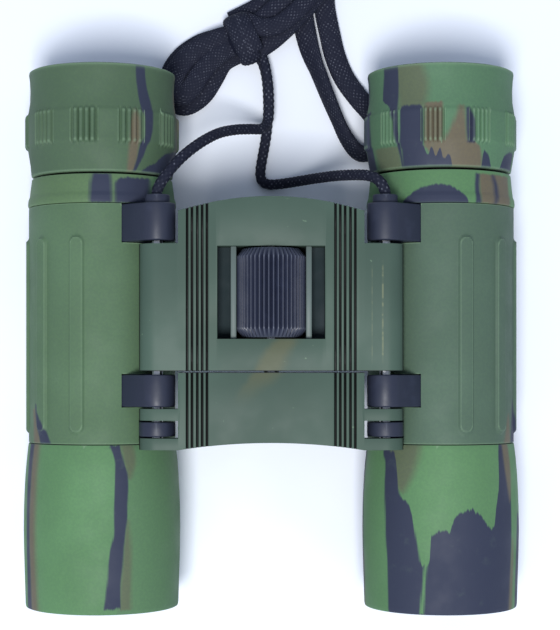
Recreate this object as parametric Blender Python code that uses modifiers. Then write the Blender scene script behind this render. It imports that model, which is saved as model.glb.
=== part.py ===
"""Compact folding binoculars, 10 x 25 class, with a neck strap.

World frame: +X to the user's right, +Y toward the eyepieces, +Z up, the instrument lying on its
barrels. All the sizes below are in millimetres and degrees; the helpers turn them into metres.
"""
import math

import bmesh
import bpy
from mathutils import Vector

MM = 0.001

# ---- driving dimensions -------------------------------------------------------------------
LENGTH = 110.0
REAR = LENGTH / 2
FRONT = -LENGTH / 2
BULGE_R = 16.4                      # fattest ring of the objective sleeve, which touches the table
AXIS_X = 35.05                      # optical axes, as the barrels are spread at rest
AXIS_Z = BULGE_R
HINGE_X = 22.61
HINGE_Z = 31.69
GAP = 0.3                           # clearance between separate pieces

KNUCKLE_R = 3.6
PIN_R = 1.1
PIN_BORE_R = PIN_R + GAP

# barrel tube
TUBE_R = 13.6
TUBE_BORE_R = 12.5
FRONT_TUBE_R = 14.3
FRONT_BORE_R = 13.6
TUBE_STEP_Y = -21.4
TUBE_FRONT_Y = -53.5
TUBE_REAR_Y = 32.4
REAR_LIP_R = 11.8

# rubber armour
ARMOUR_BORE_R = TUBE_R + GAP
ARMOUR_R = 15.08
ARMOUR_Y = (-21.1, 26.85)
RIB_R = 15.65
RIB_Y = (-19.0, 20.5)
RIB_HALF_WIDTH = 1.5
RIB_ANGLES = (-67.0, -33.5, 0.0, 33.5, 67.0)
RIB_MIDDLE = 9.0                    # the middle rib, in degrees above the horizontal, outward
NECK_Y = (27.15, 32.7)

# hinge lugs, along the hinge axis
UPPER_LUG_Y = (19.3, 26.8)
LOWER_LUG_Y = (-13.6, -7.2)
ARM_LUG_Y = (-19.45, -16.55)
ARM_THICKNESS = 1.6
ARM_ACROSS = (-0.9, 2.6)             # the arm keeps to the inner side, under the knuckles
LUG_BACK = 4.9                      # how far a lug reaches past the hinge line, outward
EYELET_R = 2.5
EYELET_Y = 28.5
EYELET_HOLE_R = 1.4
EYELET_HOLE_Y = 26.0
UPPER_BORE_END_Y = 25.5

# focusing
FOCUS_TRAVEL = 3.0
SLIDER_SEAM_Y = -6.75
KNUCKLE_1_Y = (-16.25, -13.95)
KNUCKLE_2_Y = (-22.05, -19.75)
KNUCKLE_2_BORE_END_Y = -21.7
PIN_Y = (-21.4, 25.2)

# bridge
CROWN_Z = 36.0
PLATE_HALF_WIDTH = 18.3
HOUSING_FRONT_Y = -6.45
HOUSING_KNUCKLE_REAR_Y = 18.6
HOUSING_CORNER_Y = 25.0
HOUSING_CROWN_Y = 27.8
SLIDER_CENTRE_Y = -20.6
SHELL_BOTTOM_Z = 30.3
SKIN_Z = 34.5
WALL = 1.25
WINDOW_HALF_WIDTH = 10.6
WINDOW_Y = (-0.2, 18.1)
WELL_WALL = 1.4
COVER_Z = (28.9, 30.0)
BELLY_R = 8.4
BELLY_BORE_R = 7.5
SCREW_X = 14.4
SCREW_Y = (-3.2, 22.4)

KNOB_R = 7.0
KNOB_ROOT_R = 6.6
KNOB_Y = (0.15, 17.75)
KNOB_TEETH = 24
SPINDLE_R = 2.0
JOURNAL_R = 1.5
SCREW_THREAD_Y = -17.5
CLIP_R = 2.3
CLIP_Y = (-3.0, -2.5)
NUT_R = 3.3
NUT_Y = (-15.0, -8.5)

# eyepieces
EYECUP_Y = (33.3, REAR)
BAND_Y = (38.6, 46.5)
BAND_R = 15.9
BAND_ROOT_R = 15.2
BAND_GROUPS = 10
BAND_GROUP_ANGLE = 17.2              # each group of ridges, as one raised block
OCULAR_R = 11.5
OCULAR_Y = (20.5, 50.0)

# strap: a thin braided cord at each eyelet, and a thick flat braid around the neck
THIN_CORD = 2.2
THICK_CORD = 4.6
TABLE_GAP = 0.1
KNOT_X = (-8.9, -0.3)
KNOT_Y = (59.9, 69.0)
KNOT_HEIGHT = 7.2
BRAID_HEIGHT = 4.8                   # two layers of the flat braid
COIL_CENTRE = (10.5, 106.2)
COIL_R = 29.6
COIL_HOLE_R = 19.6
COIL_HEIGHT = 4.9

LEFT_CORD_ROUTE = (
    (-HINGE_X, 26.4, HINGE_Z), (-HINGE_X, 29.3, HINGE_Z), (-21.1, 32.2, 31.2),
    (-18.8, 35.3, 29.5), (-16.3, 38.0, 27.0), (-13.5, 40.5, 23.5), (-10.6, 42.6, 19.0),
    (-7.4, 43.9, 14.5), (-4.5, 44.6, 10.5), (-2.1, 45.2, 7.0), (-0.8, 46.9, 4.8),
    (-0.5, 50.0, 4.0), (-0.6, 54.0, 4.0), (-1.0, 57.4, 4.0), (-1.5, 59.5, 4.0))
RIGHT_CORD_ROUTE = (
    (HINGE_X, 26.4, HINGE_Z), (HINGE_X, 29.0, HINGE_Z), (21.4, 31.4, 31.0), (19.0, 32.8, 28.0),
    (14.1, 33.7, 20.0), (9.8, 34.0, 13.0), (6.1, 34.0, 7.6), (2.4, 33.9, 3.4), (-0.3, 33.9, 1.8),
    (-1.9, 34.6, 1.3), (-2.4, 36.4, 1.3), (-2.0, 39.4, 1.3), (-1.2, 44.0, 1.3),
    (-0.7, 49.2, 1.3), (-0.8, 54.4, 1.3), (-1.1, 57.6, 1.3), (-1.6, 59.5, 1.3))
RIGHT_LOOP_ROUTE = (
    (6.6, 76.2, 2.5), (6.8, 70.4, 2.5), (8.2, 63.4, 2.5), (10.8, 56.4, 2.5), (13.5, 49.6, 2.5),
    (16.2, 43.8, 2.5), (19.0, 40.6, 2.5), (22.0, 41.4, 2.5), (23.0, 44.8, 2.5), (22.0, 48.6, 2.5),
    (19.1, 52.4, 2.5), (16.2, 56.8, 2.5), (14.2, 61.6, 2.5), (13.0, 66.6, 2.5), (12.2, 71.6, 2.5),
    (12.0, 76.2, 2.5))
LEFT_LOBE_OUTLINE = (
    (-9.3, 67.0), (-12.6, 67.2), (-16.4, 66.2), (-20.6, 63.4), (-23.4, 59.6), (-24.4, 55.6),
    (-23.6, 51.4), (-20.6, 49.0), (-16.8, 49.4), (-13.2, 52.0), (-10.8, 55.8), (-9.3, 60.2))
FOLD_OUTLINE = (
    (0.0, 63.6), (2.4, 65.2), (3.4, 68.0), (3.9, 72.0), (3.6, 76.0), (-0.8, 76.0), (-3.5, 73.0),
    (-8.0, 70.2), (-7.6, 69.4), (0.0, 69.4))

BARREL_STEPS = 28
SMALL_STEPS = 12


# ---- scene and materials -------------------------------------------------------------------
def clear_scene():
    for obj in list(bpy.data.objects):
        bpy.data.objects.remove(obj, do_unlink=True)


def collection(name):
    made = bpy.data.collections.new(name)
    bpy.context.scene.collection.children.link(made)
    return made


def material(name, colour, roughness, metallic=0.0, transmission=0.0):
    made = bpy.data.materials.new(name)
    made.use_nodes = True
    shader = made.node_tree.nodes["Principled BSDF"]
    shader.inputs["Base Color"].default_value = (*colour, 1.0)
    shader.inputs["Roughness"].default_value = roughness
    shader.inputs["Metallic"].default_value = metallic
    shader.inputs["Transmission Weight"].default_value = transmission
    made.diffuse_color = (*colour, 1.0)
    return made


clear_scene()
PARTS = collection("binoculars")
CUTTERS = collection("cutters")

GREEN_RUBBER = material("green_rubber", (0.13, 0.21, 0.13), 0.55)
GREEN_METAL = material("green_metal", (0.09, 0.13, 0.09), 0.40, 0.3)
BLACK_PLASTIC = material("black_plastic", (0.035, 0.035, 0.045), 0.45)
BLACK_METAL = material("black_metal", (0.02, 0.02, 0.02), 0.50, 0.6)
STEEL = material("steel", (0.55, 0.55, 0.55), 0.30, 1.0)
BRASS = material("brass", (0.60, 0.42, 0.16), 0.30, 1.0)
LENS_GLASS = material("lens_glass", (0.85, 0.90, 0.95), 0.02, 0.0, 1.0)
PRISM_GLASS = material("prism_glass", (0.90, 0.93, 0.95), 0.02, 0.0, 1.0)
BLACK_CORD = material("black_cord", (0.02, 0.02, 0.03), 0.85)


# ---- modelling helpers ---------------------------------------------------------------------
def metres(x, y, z):
    return Vector((x * MM, y * MM, z * MM))


def joint_origin(name, x, y, z, parent=None):
    """An empty on a joint's axis, which carries the pieces that move with it."""
    empty = bpy.data.objects.new(name, None)
    PARTS.objects.link(empty)
    empty.parent = parent
    empty.location = metres(x, y, z) - world_place(parent)
    return empty


def world_place(obj):
    place = Vector((0.0, 0.0, 0.0))
    while obj is not None:
        place += obj.location
        obj = obj.parent
    return place


def carry(obj, parent):
    """Parent a piece to a joint's empty without moving it."""
    obj.location = obj.location - world_place(parent)
    obj.parent = parent


def as_piece(obj, look, parent=None):
    PARTS.objects.link(obj)
    obj.data.materials.append(look)
    if parent is not None:
        carry(obj, parent)
    return obj


def as_cutter(obj):
    CUTTERS.objects.link(obj)
    obj.hide_render = True
    obj.display_type = "WIRE"
    return obj


def turned(name, profile, x, z, steps=BARREL_STEPS, closed=True):
    """Turn a profile of (radius, y) points about the line through x, z along Y."""
    mesh = bpy.data.meshes.new(name)
    points = [(r * MM, 0.0, y * MM) for r, y in profile]
    edges = [(i, i + 1) for i in range(len(points) - 1)]
    if closed:
        edges.append((len(points) - 1, 0))
    mesh.from_pydata(points, edges, [])
    obj = bpy.data.objects.new(name, mesh)
    obj.location = metres(x, 0.0, z)
    obj.rotation_euler = (-math.pi / 2, 0.0, 0.0)
    screw = obj.modifiers.new("turn", "SCREW")
    screw.steps = steps
    screw.render_steps = steps
    screw.use_merge_vertices = True
    screw.merge_threshold = 0.00001
    screw.use_smooth_shade = True
    return obj


def ring(outer, inner):
    """A closed profile from the outer points, rear to front, and the inner ones, rear to front."""
    return outer + inner[::-1]


def band(radius, bore, y):
    """The profile of a plain ring between the two ends y, front and rear."""
    return ring([(radius, y[1]), (radius, y[0])], [(bore, y[1]), (bore, y[0])])


def rod(radius, y):
    """The open profile of a plain solid cylinder between the two ends y."""
    return [(0.0, y[1]), (radius, y[1]), (radius, y[0]), (0.0, y[0])]


def arc(cx, cy, radius, start, end, steps):
    """Points on an arc about (cx, cy), with the angles in degrees."""
    found = []
    for i in range(steps + 1):
        a = math.radians(start + (end - start) * i / steps)
        found.append((cx + radius * math.cos(a), cy + radius * math.sin(a)))
    return found


def extruded(name, outline, low, high, axis):
    """A flat outline with thickness. Along Y the outline is in X, Z; along Z it is in X, Y;
    along X it is in Y, Z."""
    curve = bpy.data.curves.new(name, "CURVE")
    curve.dimensions = "2D"
    curve.fill_mode = "BOTH"
    curve.extrude = (high - low) / 2 * MM
    spline = curve.splines.new("POLY")
    spline.points.add(len(outline) - 1)
    for point, (u, v) in zip(spline.points, outline):
        point.co = (u * MM, v * MM, 0.0, 1.0)
    spline.use_cyclic_u = True
    flat = bpy.data.objects.new(name + "_outline", curve)
    CUTTERS.objects.link(flat)
    bpy.context.view_layer.update()
    depsgraph = bpy.context.evaluated_depsgraph_get()
    mesh = bpy.data.meshes.new_from_object(flat.evaluated_get(depsgraph))
    bpy.data.objects.remove(flat, do_unlink=True)
    work = bmesh.new()
    work.from_mesh(mesh)
    bmesh.ops.remove_doubles(work, verts=work.verts, dist=0.000001)
    bmesh.ops.recalc_face_normals(work, faces=work.faces)
    work.to_mesh(mesh)
    work.free()
    obj = bpy.data.objects.new(name, mesh)
    middle = (low + high) / 2
    if axis == "Y":
        obj.rotation_euler = (math.pi / 2, 0.0, 0.0)
        obj.location = metres(0.0, middle, 0.0)
    elif axis == "X":
        obj.rotation_euler = (math.pi / 2, 0.0, math.pi / 2)
        obj.location = metres(middle, 0.0, 0.0)
    else:
        obj.location = metres(0.0, 0.0, middle)
    return obj


def block(name, x, y, z):
    """A box between the two corners given as (low, high) along each axis."""
    mesh = bpy.data.meshes.new(name)
    work = bmesh.new()
    bmesh.ops.create_cube(work, size=1.0)
    size = Vector(((x[1] - x[0]) * MM, (y[1] - y[0]) * MM, (z[1] - z[0]) * MM))
    bmesh.ops.scale(work, vec=size, verts=work.verts)
    work.to_mesh(mesh)
    work.free()
    obj = bpy.data.objects.new(name, mesh)
    obj.location = metres((x[0] + x[1]) / 2, (y[0] + y[1]) / 2, (z[0] + z[1]) / 2)
    return obj


def upright(name, radius, x, y, z, steps=SMALL_STEPS):
    """A cylinder along Z between the two heights z."""
    outline = arc(x, y, radius, 0, 360 * (steps - 1) / steps, steps - 1)
    return extruded(name, outline, z[0], z[1], "Z")


def combine(obj, operation, other):
    """Join, cut or intersect obj with a hidden tool."""
    as_cutter(other)
    modifier = obj.modifiers.new(operation.lower(), "BOOLEAN")
    modifier.operation = operation
    modifier.solver = "EXACT"
    modifier.object = other
    return obj


def join(obj, other):
    return combine(obj, "UNION", other)


def cut(obj, other):
    return combine(obj, "DIFFERENCE", other)


def along_pin(name, y, side, radius=PIN_BORE_R, steps=SMALL_STEPS):
    """A cylinder on one side's hinge axis."""
    return turned(name, rod(radius, y), side * HINGE_X, HINGE_Z, steps, closed=False)


# ---- the direction from a barrel's axis to its hinge ----------------------------------------
REACH = math.hypot(AXIS_X - HINGE_X, HINGE_Z - AXIS_Z)
ALONG = ((AXIS_X - HINGE_X) / REACH, (HINGE_Z - AXIS_Z) / REACH)


def from_barrel(side, along, across):
    """X, Z of a point given along the line from the barrel's axis to the hinge, and across it
    toward the middle of the bridge."""
    x = AXIS_X - along * ALONG[0] - across * ALONG[1]
    z = AXIS_Z + along * ALONG[1] - across * ALONG[0]
    return side * x, z


def lug_outline(side, grow=0.0):
    """A hinge lug's outline: a round eye on the hinge, and a web down into the barrel."""
    foot, shoulder = 8.7, 13.5
    web = [(foot, 3.2 + grow), (17.2, 3.0 + grow)]
    eye = arc(REACH, 0.0, KNUCKLE_R + grow, 115, -90, 10)
    back = [(shoulder, -LUG_BACK - grow), (foot, -LUG_BACK - grow)]
    return [from_barrel(side, a, b) for a, b in web + eye + back]


def arm_outline(side, grow=0.0, foot=10.4):
    """The objective cell's arm, as it crosses the wall of the barrel."""
    outer, inner = ARM_ACROSS[0] - grow, ARM_ACROSS[1] + grow
    points = [(foot, inner), (REACH, inner), (REACH, outer), (foot, outer)]
    return [from_barrel(side, a, b) for a, b in points]


# ---- one barrel ------------------------------------------------------------------------------
def barrel_body(side, word, parent):
    """The black moulded tube, with the two big hinge lugs and the strap eyelet."""
    x = side * AXIS_X
    outer = [(0.0, TUBE_REAR_Y), (TUBE_R, TUBE_REAR_Y), (TUBE_R, TUBE_STEP_Y),
             (FRONT_TUBE_R, TUBE_STEP_Y), (FRONT_TUBE_R, TUBE_FRONT_Y), (0.0, TUBE_FRONT_Y)]
    obj = turned(word + "_barrel_body", outer, x, AXIS_Z, closed=False)
    for name, y in (("upper", UPPER_LUG_Y), ("lower", LOWER_LUG_Y)):
        join(obj, extruded(f"{word}_{name}_lug", lug_outline(side), y[0], y[1], "Y"))
    eyelet = (UPPER_LUG_Y[1] - 0.5, EYELET_Y)
    join(obj, along_pin(word + "_eyelet", eyelet, side, EYELET_R, 12))
    bore = [(0.0, TUBE_REAR_Y + 1), (REAR_LIP_R, TUBE_REAR_Y + 1), (REAR_LIP_R, TUBE_REAR_Y - 1.2),
            (TUBE_BORE_R, TUBE_REAR_Y - 1.2), (TUBE_BORE_R, TUBE_STEP_Y - 2),
            (FRONT_BORE_R, TUBE_STEP_Y - 2), (FRONT_BORE_R, TUBE_FRONT_Y - 1),
            (0.0, TUBE_FRONT_Y - 1)]
    cut(obj, turned(word + "_barrel_bore", bore, x, AXIS_Z, closed=False))
    cut(obj, along_pin(word + "_upper_pin_bore", (UPPER_LUG_Y[0] - 1, UPPER_BORE_END_Y), side))
    cut(obj, along_pin(word + "_lower_pin_bore", (LOWER_LUG_Y[0] - 1, LOWER_LUG_Y[1] + 1), side))
    cut(obj, along_pin(word + "_eyelet_hole", (EYELET_HOLE_Y, EYELET_Y + 1), side, EYELET_HOLE_R))
    slot = arm_slot_y()
    cut(obj, extruded(word + "_tube_slot", arm_outline(side, GAP), slot[0], slot[1], "Y"))
    return as_piece(obj, BLACK_PLASTIC, parent)


def arm_slot_y():
    """The slot that the arm of the objective cell travels in."""
    return ARM_LUG_Y[1] - ARM_THICKNESS - FOCUS_TRAVEL - GAP, ARM_LUG_Y[1] + GAP


def armour_rib(side, word, number, angle):
    """A raised bar with round ends along the armour, at an angle above the horizontal."""
    y0, y1 = RIB_Y
    half = RIB_HALF_WIDTH
    outline = arc(0.0, y1 - half, half, 0, 180, 4) + arc(0.0, y0 + half, half, 180, 360, 4)
    bar = extruded(f"{word}_rib_{number}", outline, ARMOUR_R - 0.6, RIB_R, "Z")
    turn = side * math.radians(90 - angle)
    bar.rotation_euler = (0.0, turn, 0.0)
    middle = (ARMOUR_R - 0.6 + RIB_R) / 2
    place = (side * AXIS_X + middle * math.sin(turn), 0.0, AXIS_Z + middle * math.cos(turn))
    bar.location = metres(*place)
    return bar


def body_armour(side, word, parent):
    """The rubber skin around the middle of the barrel, with its ribs and the slots for the lugs."""
    x = side * AXIS_X
    obj = turned(word + "_body_armour", band(ARMOUR_R, ARMOUR_BORE_R, ARMOUR_Y), x, AXIS_Z)
    for name, y in (("upper", (UPPER_LUG_Y[0], ARMOUR_Y[1] + 1)), ("lower", LOWER_LUG_Y)):
        outline = lug_outline(side, GAP)
        cut(obj, extruded(f"{word}_{name}_lug_slot", outline, y[0] - GAP, y[1] + GAP, "Y"))
    slot = (ARMOUR_Y[0] - 1, arm_slot_y()[1])
    cut(obj, extruded(word + "_armour_slot", arm_outline(side, GAP), slot[0], slot[1], "Y"))
    for number, angle in enumerate(RIB_ANGLES, 1):
        join(obj, armour_rib(side, word, number, RIB_MIDDLE + angle))
    return as_piece(obj, GREEN_RUBBER, parent)


def neck_ring(side, word, parent):
    """The rubber collar behind the armour, with a low lip at each end."""
    y0, y1 = NECK_Y
    outer = [(14.45, y1), (14.9, y1 - 3.2), (15.2, y1 - 4.0), (15.2, y0 + 0.4), (14.9, y0)]
    profile = ring(outer, [(ARMOUR_BORE_R, y1), (ARMOUR_BORE_R, y0)])
    obj = turned(word + "_neck_ring", profile, side * AXIS_X, AXIS_Z)
    return as_piece(obj, GREEN_RUBBER, parent)


def objective_sleeve(side, word, parent):
    """The flared rubber sleeve around the objective."""
    rear = ARMOUR_Y[0] - 0.15
    outer = [(15.1, rear), (15.6, -25.0), (16.15, -31.0), (BULGE_R, -38.0), (16.25, -46.0),
             (16.0, FRONT + 0.8), (15.5, FRONT), (14.3, FRONT)]
    inner = [(14.3, TUBE_FRONT_Y - GAP), (FRONT_TUBE_R + GAP, TUBE_FRONT_Y - GAP),
             (FRONT_TUBE_R + GAP, rear)]
    obj = turned(word + "_objective_sleeve", outer + inner, side * AXIS_X, AXIS_Z)
    notch = (arm_slot_y()[0], rear + 1)
    cut(obj, extruded(word + "_sleeve_notch", arm_outline(side, GAP, 13.0), notch[0], notch[1], "Y"))
    return as_piece(obj, GREEN_RUBBER, parent)


def objective_trim_ring(side, word, parent):
    """The black ring screwed into the front of the tube, in front of the objective."""
    outer = [(13.3, -51.2), (13.3, TUBE_FRONT_Y - GAP), (14.0, TUBE_FRONT_Y - GAP), (14.0, -54.6)]
    inner = [(12.2, -51.2), (12.5, -54.6)]
    obj = turned(word + "_objective_trim_ring", ring(outer, inner), side * AXIS_X, AXIS_Z, 24)
    return as_piece(obj, BLACK_METAL, parent)


def objective_cell(side, word, parent):
    """The sliding lens cell, with its arm out to the focus slider's knuckles."""
    x = side * AXIS_X
    profile = [(13.3, -24.5), (13.3, -47.5), (12.8, -47.5), (12.8, -42.0), (11.8, -42.0),
               (11.2, -24.5), (11.2, -16.0), (12.2, -16.0), (12.2, -24.5)]
    obj = turned(word + "_objective_cell", profile, x, AXIS_Z, 24)
    arm_y = (ARM_LUG_Y[1] - ARM_THICKNESS, ARM_LUG_Y[1])
    join(obj, extruded(word + "_cell_arm", arm_outline(side, foot=11.6), arm_y[0], arm_y[1], "Y"))
    join(obj, along_pin(word + "_arm_lug", ARM_LUG_Y, side, KNUCKLE_R, 20))
    cut(obj, along_pin(word + "_arm_bore", (ARM_LUG_Y[0] - 1, ARM_LUG_Y[1] + 1), side))
    return as_piece(obj, BLACK_PLASTIC, parent)


def lens(name, side, radius, front, rear, bulge, parent):
    """A lens between the ends of its edge, with both faces bulging."""
    rings = 2
    profile = []
    for i in range(rings + 1):
        r = radius * i / rings
        profile.append((r, rear + bulge * (1 - (r / radius) ** 2)))
    for i in range(rings, -1, -1):
        r = radius * i / rings
        profile.append((r, front - bulge * (1 - (r / radius) ** 2)))
    obj = turned(name, profile, side * AXIS_X, AXIS_Z, 20, closed=False)
    return as_piece(obj, LENS_GLASS, parent)


def prism_cage(side, word, parent):
    """The cup in the tube that holds the two prisms, open through both ends."""
    outer = [(12.2, 14.0), (12.2, -12.0)]
    inner = [(5.0, 14.0), (5.0, 13.2), (11.3, 13.2), (11.3, -11.2), (5.5, -11.2), (5.5, -12.0)]
    obj = turned(word + "_prism_cage", ring(outer, inner), side * AXIS_X, AXIS_Z, 24)
    return as_piece(obj, BLACK_METAL, parent)


PRISM_HALF = 4.6                    # half of the square aperture
PRISM_FRONT_Y = -10.4


def prism(name, side, outline, parent):
    """A prism with its outline in the Y, Z plane of its barrel."""
    x = side * AXIS_X
    points = [(y, AXIS_Z + z) for y, z in outline]
    obj = extruded(name, points, x - PRISM_HALF, x + PRISM_HALF, "X")
    return as_piece(obj, PRISM_GLASS, parent)


def half_penta_prism(side, word, parent):
    """The first prism: 45, 112.5 and 22.5 degree corners, the sharp one cut off."""
    top = (PRISM_FRONT_Y, PRISM_HALF)
    low = (PRISM_FRONT_Y, -PRISM_HALF)
    drop = 4.6
    slope = math.tan(math.radians(22.5))
    end = drop / slope
    depth = low[1] - drop
    outline = [top, low, (PRISM_FRONT_Y + end, depth), (PRISM_FRONT_Y + PRISM_HALF - depth, depth)]
    return prism(word + "_half_penta_prism", side, outline, parent)


def roof_prism(side, word, parent):
    """The second prism: a 45 degree corner and two of 67.5 degrees, with a roof on its base."""
    corner = (PRISM_FRONT_Y + 2 * PRISM_HALF + 4.2, -PRISM_HALF - 3.6)
    leg = 16.5
    far = (corner[0], corner[1] + leg)
    near = (corner[0] - leg * math.sin(math.pi / 4), corner[1] + leg * math.cos(math.pi / 4))
    return prism(word + "_roof_prism", side, [corner, far, near], parent)


def ocular_tube(side, word, parent):
    """The eyepiece tube, with a flange that the tube's rear lip keeps in."""
    outer = [(OCULAR_R, OCULAR_Y[1]), (OCULAR_R, 26.0), (12.2, 26.0), (12.2, OCULAR_Y[0])]
    inner = [(10.0, OCULAR_Y[1]), (10.0, 44.0), (8.8, 44.0), (8.8, 33.5), (10.4, 33.5),
             (10.4, OCULAR_Y[0])]
    obj = turned(word + "_ocular_tube", ring(outer, inner), side * AXIS_X, AXIS_Z, 24)
    return as_piece(obj, BLACK_METAL, parent)


def eye_lens_ring(side, word, parent):
    """The threaded ring behind the eye lens."""
    profile = ring([(9.7, 49.7), (9.7, 48.5)], [(8.6, 49.7), (8.0, 48.5)])
    obj = turned(word + "_eye_lens_ring", profile, side * AXIS_X, AXIS_Z, 24)
    return as_piece(obj, BLACK_METAL, parent)


def band_outline(side):
    """The grip band's outline in X, Z: raised groups of ridges with smooth pads between them."""
    group = 360 / BAND_GROUPS
    half = BAND_GROUP_ANGLE / 2
    points = []
    for g in range(BAND_GROUPS):
        middle = 98 + g * group
        corners = ((BAND_ROOT_R, -half), (BAND_R, 0.9 - half), (BAND_R, half - 0.9), (BAND_ROOT_R, half))
        for r, a in corners:
            turn = math.radians(middle + a)
            points.append((side * AXIS_X + r * math.cos(turn), AXIS_Z + r * math.sin(turn)))
    return points


def eyecup(side, word, parent):
    """The rubber eyecup with its grip band, which on the right is the diopter ring."""
    x = side * AXIS_X
    front, rear = EYECUP_Y
    outer = [(0.0, rear), (14.6, rear), (15.05, rear - 0.6), (14.8, rear - 4.0),
             (BAND_ROOT_R, BAND_Y[1]), (BAND_ROOT_R, BAND_Y[0]), (15.0, BAND_Y[0] - 1.0),
             (14.4, front), (0.0, front)]
    obj = turned(word + "_eyecup", outer, x, AXIS_Z, closed=False)
    band_y = (BAND_Y[0] + 0.5, BAND_Y[1] - 0.5)
    join(obj, extruded(word + "_grip_band", band_outline(side), band_y[0], band_y[1], "Y"))
    bore = [(0.0, rear + 1), (13.6, rear + 1), (13.6, rear - 0.6), (11.9, rear - 4.4),
            (OCULAR_R + GAP, rear - 4.7), (OCULAR_R + GAP, front - 1), (0.0, front - 1)]
    cut(obj, turned(word + "_eyecup_bore", bore, x, AXIS_Z, closed=False))
    return as_piece(obj, GREEN_RUBBER, parent)


# ---- bridge ----------------------------------------------------------------------------------
def bridge_section(bottom):
    """X, Z outline across the bridge: a crowned plate with a knuckle on each hinge axis."""
    drop = CROWN_Z - HINGE_Z - KNUCKLE_R
    crown = [(x, CROWN_Z - drop * (x / HINGE_X) ** 2) for x in (-18.0, -12.0, -6.0, 0.0)]
    crown += [(-x, z) for x, z in crown[-2::-1]]
    under = math.degrees(math.asin((HINGE_Z - bottom) / KNUCKLE_R))
    right = arc(HINGE_X, HINGE_Z, KNUCKLE_R, 90, -180 + under, 12)
    left = [(-x, z) for x, z in right[::-1]]
    return crown + right + left


def half_to_whole(half):
    """Mirror the right half of a plan, given from the middle round to the middle."""
    return half + [(-x, y) for x, y in half[::-1] if x > 0]


def housing_plan():
    sag = HOUSING_CROWN_Y - HOUSING_CORNER_Y
    wide = HINGE_X + KNUCKLE_R + 1
    rear = [(x, HOUSING_CROWN_Y - sag * (x / PLATE_HALF_WIDTH) ** 2) for x in (0.0, 5.0, 10.0, 14.5)]
    half = rear + [(PLATE_HALF_WIDTH, HOUSING_CORNER_Y), (PLATE_HALF_WIDTH, HOUSING_KNUCKLE_REAR_Y),
                   (wide, HOUSING_KNUCKLE_REAR_Y), (wide, HOUSING_FRONT_Y)]
    return half_to_whole(half)


def slider_plan():
    sag = KNUCKLE_2_Y[0] - SLIDER_CENTRE_Y
    side = PLATE_HALF_WIDTH
    wide = HINGE_X + KNUCKLE_R + 1
    front = [(x, SLIDER_CENTRE_Y + sag * (x / side) ** 2) for x in (0.0, 5.0, 10.0, 14.5)]
    half = front + [(side, KNUCKLE_2_Y[0]), (wide, KNUCKLE_2_Y[0]), (wide, KNUCKLE_2_Y[1]),
                    (side, KNUCKLE_2_Y[1]), (side, KNUCKLE_1_Y[0]), (wide, KNUCKLE_1_Y[0]),
                    (wide, KNUCKLE_1_Y[1]), (side, KNUCKLE_1_Y[1]), (side, SLIDER_SEAM_Y)]
    return half_to_whole(half)


def screw_places():
    """The four cover screws, at the corners of the bridge."""
    return [(x, y) for y in SCREW_Y for x in (-SCREW_X, SCREW_X)]


def bridge_housing():
    """The painted upper plate: a shell open below, with the window for the focus knob."""
    obj = extruded("bridge_housing", bridge_section(SHELL_BOTTOM_Z), -8.0, 29.0, "Y")
    combine(obj, "INTERSECT", extruded("housing_plan", housing_plan(), 25.0, 40.0, "Z"))
    inner = PLATE_HALF_WIDTH - WALL
    cavity_y = (HOUSING_FRONT_Y + WALL, HOUSING_CORNER_Y - WALL)
    cut(obj, block("housing_cavity", (-inner, inner), cavity_y, (25.0, SKIN_Z)))
    well = WINDOW_HALF_WIDTH + WELL_WALL - 0.4
    well_y = (WINDOW_Y[0] - WELL_WALL, WINDOW_Y[1] + WELL_WALL)
    join(obj, block("well_walls", (-well, well), well_y, (SHELL_BOTTOM_Z, SKIN_Z + 0.5)))
    for number, (x, y) in enumerate(screw_places(), 1):
        post = upright(f"screw_post_{number}", 1.9, x, y, (SHELL_BOTTOM_Z, SKIN_Z + 0.5), 12)
        join(obj, post)
    window = (-WINDOW_HALF_WIDTH, WINDOW_HALF_WIDTH)
    cut(obj, block("knob_window", window, WINDOW_Y, (25.0, 40.0)))
    journal = JOURNAL_R + GAP
    saddle = arc(0.0, HINGE_Z, journal, 0, 180, 8) + [(-journal, 28.0), (journal, 28.0)]
    cut(obj, extruded("spindle_saddles", saddle, -8.0, 20.6, "Y"))
    for number, (x, y) in enumerate(screw_places(), 1):
        cut(obj, upright(f"post_hole_{number}", 1.05, x, y, (28.0, 34.2), 10))
    for side, word in ((-1, "left"), (1, "right")):
        cut(obj, along_pin(word + "_housing_bore", (-8.0, 19.6), side))
    return as_piece(obj, GREEN_METAL)


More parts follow.
